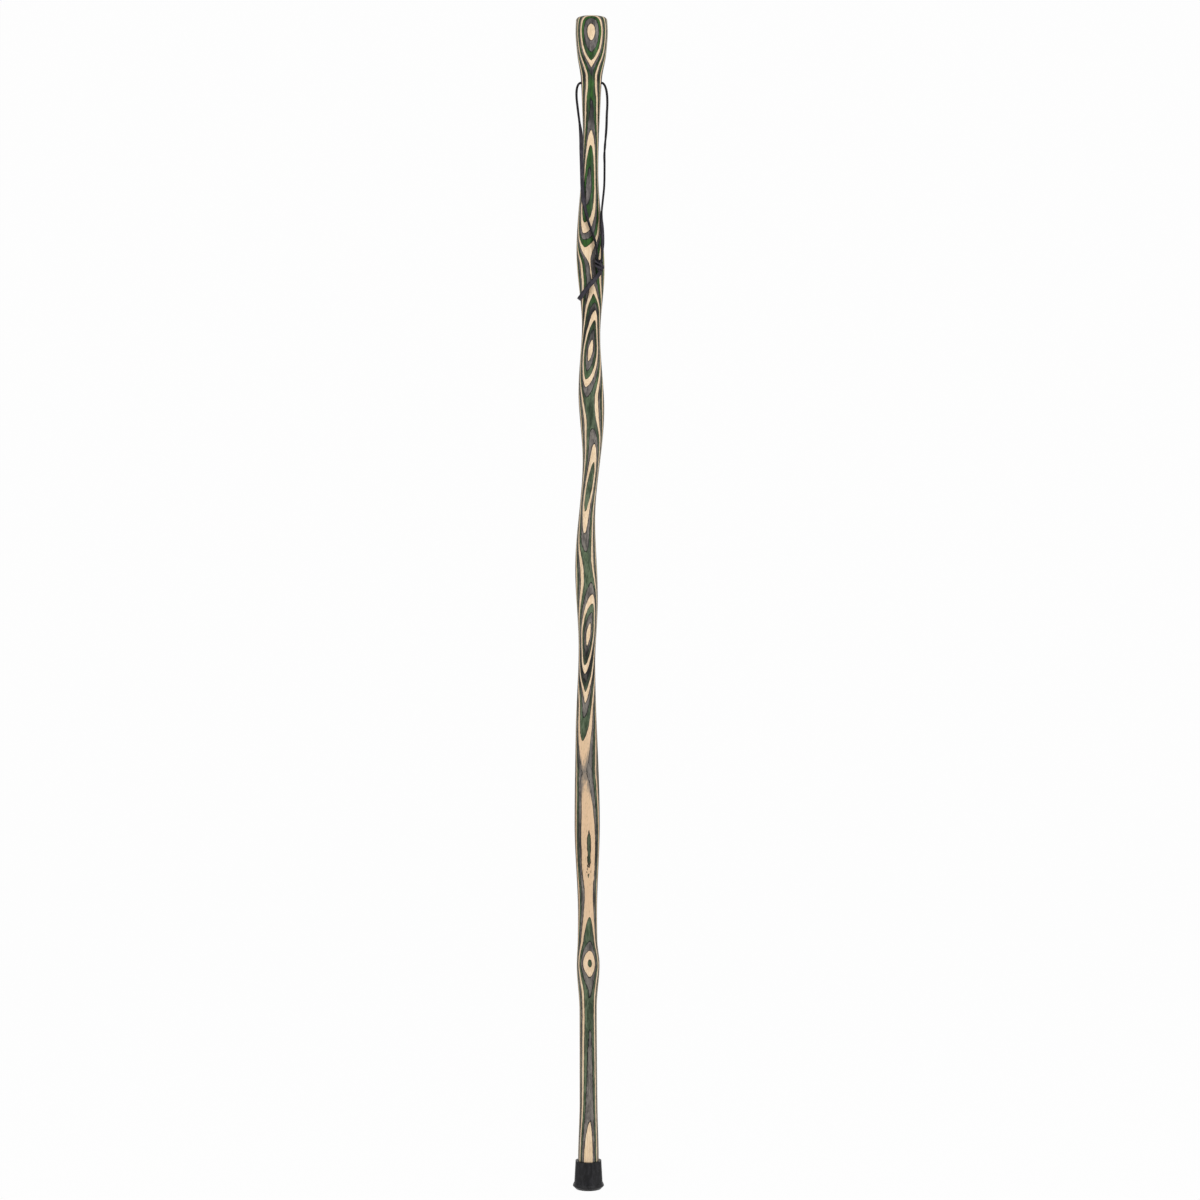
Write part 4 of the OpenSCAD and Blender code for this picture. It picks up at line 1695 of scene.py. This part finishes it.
@dataclass
class Studio:
    """A white sweep, two tall softboxes and a camera square to the staff at about half its height."""

    camera_distance: float = 3.0
    camera_side: float = 0.0138
    camera_height: float = 0.7023
    frame_height: float = 1.4326
    floor_size: float = 9.0
    sweep_radius: float = 1.4
    sweep_segments: int = 24
    near: float = 0.01
    paper: Colour = srgb(240, 240, 240)
    paper_glow: float = 0.97
    ambient: float = 0.52
    ambient_tone: Colour = srgb(255, 255, 255)
    softbox_width: float = 0.9
    softbox_height: float = 2.4
    aim: Place = (0.0, 0.0, 0.75)
    softboxes: tuple[tuple[Place, float], ...] = (((1.7, -2.3, 1.2), 31.0), ((-1.9, -2.2, 1.3), 22.0))

    def build_camera(self) -> None:
        """Sets up the camera."""
        Bench.clear()
        bpy.ops.object.camera_add(
            location=(self.camera_side, -self.camera_distance, self.camera_height),
            rotation=(math.pi / 2, 0, 0),
        )
        camera = bpy.context.active_object
        camera.data.sensor_fit = "HORIZONTAL"
        camera.data.angle = 2 * math.atan(self.frame_height / 2 / self.camera_distance)
        bpy.context.scene.camera = camera

    def build_sweep(self) -> None:
        """Lays the floor and draws it up into a backdrop."""
        half = self.floor_size / 2
        Bench.clear()
        bpy.ops.mesh.primitive_plane_add(size=self.floor_size, location=(0, 0, 0))
        sweep = bpy.context.active_object
        sweep.name = "sweep"
        Bench.edit(sweep)
        bpy.ops.mesh.select_all(action="DESELECT")
        bpy.ops.mesh.select_mode(type="EDGE")
        bpy.ops.object.mode_set(mode="OBJECT")
        for edge in sweep.data.edges:
            ends = [sweep.data.vertices[v].co for v in edge.vertices]
            edge.select = all(end.y > half - self.near for end in ends)
        bpy.ops.object.mode_set(mode="EDIT")
        bpy.ops.mesh.extrude_region_move(TRANSFORM_OT_translate={"value": (0, 0, half)})
        bpy.ops.object.mode_set(mode="OBJECT")
        for edge in sweep.data.edges:
            ends = [sweep.data.vertices[v].co for v in edge.vertices]
            edge.select = all(end.y > half - self.near and end.z < self.near for end in ends)
        bpy.ops.object.mode_set(mode="EDIT")
        bpy.ops.mesh.bevel(offset=self.sweep_radius, segments=self.sweep_segments)
        bpy.ops.mesh.select_mode(type="VERT")
        Bench.done()
        bpy.ops.object.shade_smooth()
        sweep.data.materials.append(self._paper())

    @staticmethod
    def _seen(sheet: NodeSheet) -> bpy.types.NodeSocket:
        """Tells where the background itself is seen, straight, mirrored or through glass.

        Args:
            sheet: The sheet of the paper's material or of the world.

        Returns:
            1 where it is seen, and 0 where it only gives light.
        """
        path = sheet.add("LightPath")
        seen = path.outputs["Is Camera Ray"]
        for way in ("Is Glossy Ray", "Is Transmission Ray"):
            seen = sheet.math("MAXIMUM", seen, path.outputs[way])
        return seen

    def _paper(self) -> bpy.types.Material:
        """Builds the white paper of the sweep, which keeps a soft shadow.

        Returns:
            The material.
        """
        material = bpy.data.materials.new("white_paper")
        material.use_nodes = True
        sheet = NodeSheet(material.node_tree)
        sheet.tree.nodes.clear()
        paper = sheet.add("BsdfDiffuse")
        paper.inputs["Color"].default_value = self.paper
        glow = sheet.add("Emission")
        mixed = sheet.add("MixShader")
        sheet.join(sheet.math("MULTIPLY", self._seen(sheet), self.paper_glow), mixed.inputs["Fac"])
        sheet.join(paper.outputs["BSDF"], mixed.inputs[1])
        sheet.join(glow.outputs["Emission"], mixed.inputs[2])
        leaving = sheet.add("OutputMaterial")
        sheet.join(mixed.outputs["Shader"], leaving.inputs["Surface"])
        return material

    def build_light(self) -> None:
        """Sets up the surrounding light and the two softboxes."""
        world = bpy.data.worlds.new("studio")
        bpy.context.scene.world = world
        world.use_nodes = True
        sheet = NodeSheet(world.node_tree)
        background = world.node_tree.nodes["Background"]
        background.inputs["Color"].default_value = self.ambient_tone
        strength = sheet.spread(self._seen(sheet), 0.0, 1.0, self.ambient, 1.0)
        sheet.join(strength, background.inputs["Strength"])
        for place, energy in self.softboxes:
            Bench.clear()
            bpy.ops.object.light_add(type="AREA", location=place)
            softbox = bpy.context.active_object
            softbox.data.shape = "RECTANGLE"
            softbox.data.size = self.softbox_width
            softbox.data.size_y = self.softbox_height
            softbox.data.energy = energy
            way = Vector(self.aim) - Vector(place)
            softbox.rotation_euler = way.to_track_quat("-Z", "Y").to_euler()

    def build(self) -> None:
        """Builds the sweep and the lights, and sets how the picture shows its colours."""
        self.build_sweep()
        self.build_light()
        bpy.context.scene.view_settings.view_transform = "Standard"


def finishes(effects: Effects) -> dict[str, bpy.types.Material]:
    """Builds the staff's finishes.

    Args:
        effects: The shared node groups.

    Returns:
        The materials by their names.
    """
    made = [
        VeneerFinish(
            name="natural_veneer",
            pale=srgb(247, 223, 191),
            deep=srgb(232, 203, 164),
            cloud=srgb(220, 189, 151),
            cloud_share=0.5,
            glue=srgb(78, 64, 50),
            glue_reach=0.17,
            pore_share=0.22,
            zone_share=0.06,
            stain_share=0.0,
            band=ToneBand(tone=srgb(214, 176, 140), share=0.65, bottom=290, top=570, fade=60),
            worn=ToneBand(tone=srgb(124, 116, 107), share=0.9, bottom=472, top=520, fade=12),
        ),
        VeneerFinish(
            name="charcoal_veneer",
            pale=srgb(134, 127, 122),
            deep=srgb(92, 87, 86),
            cloud=srgb(66, 62, 63),
            cloud_share=0.6,
            glue=srgb(17, 16, 17),
            glue_reach=0.42,
            pore_share=0.5,
            zone_share=0.5,
            stain_share=1.0,
            band=ToneBand(tone=srgb(140, 133, 122), share=0.45, bottom=-200, top=1000),
        ),
        VeneerFinish(
            name="green_veneer",
            pale=srgb(62, 108, 42),
            deep=srgb(36, 80, 25),
            cloud=srgb(28, 54, 24),
            cloud_share=0.7,
            glue=srgb(12, 15, 11),
            glue_reach=0.3,
            pore_share=0.45,
            zone_share=0.5,
            stain_share=0.8,
            band=ToneBand(tone=srgb(106, 115, 95), share=0.76, bottom=-200, top=1000),
        ),
        LeatherFinish(
            name="lace_leather",
            face=srgb(50, 47, 54),
            rubbed=srgb(66, 63, 70),
            # The edge colour is a painted shade on the lace's narrow sides.
            edge=srgb(14, 13, 15),
        ),
        RubberFinish(
            name="tip_rubber",
            face=srgb(20, 20, 22),
            # The lighter mottling colour is partly rubber bloom and partly a painted highlight.
            bloom_and_highlight=srgb(50, 50, 53),
            scuff=srgb(78, 76, 74),
            scuff_height=6.0,
        ),
        SteelFinish(
            name="washer_steel",
            face=srgb(190, 192, 194),
            dull=srgb(150, 152, 155),
        ),
    ]
    return {finish.name: finish.material(effects) for finish in made}


def main() -> None:
    """Loads the part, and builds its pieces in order."""
    logging.basicConfig(level=logging.INFO, format="%(name)s: %(message)s")
    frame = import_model()
    studio = Studio()
    studio.build_camera()
    materials = finishes(Effects())
    Lace(materials["lace_leather"]).build()
    tip = RubberTip(materials["tip_rubber"], materials["washer_steel"])
    tip.build(frame["nodes"]["ferrule_washer"])
    Shaft({dye: materials[f"{dye.value}_veneer"] for dye in Dye}).build()
    studio.build()


if __name__ == "__main__":
    main()
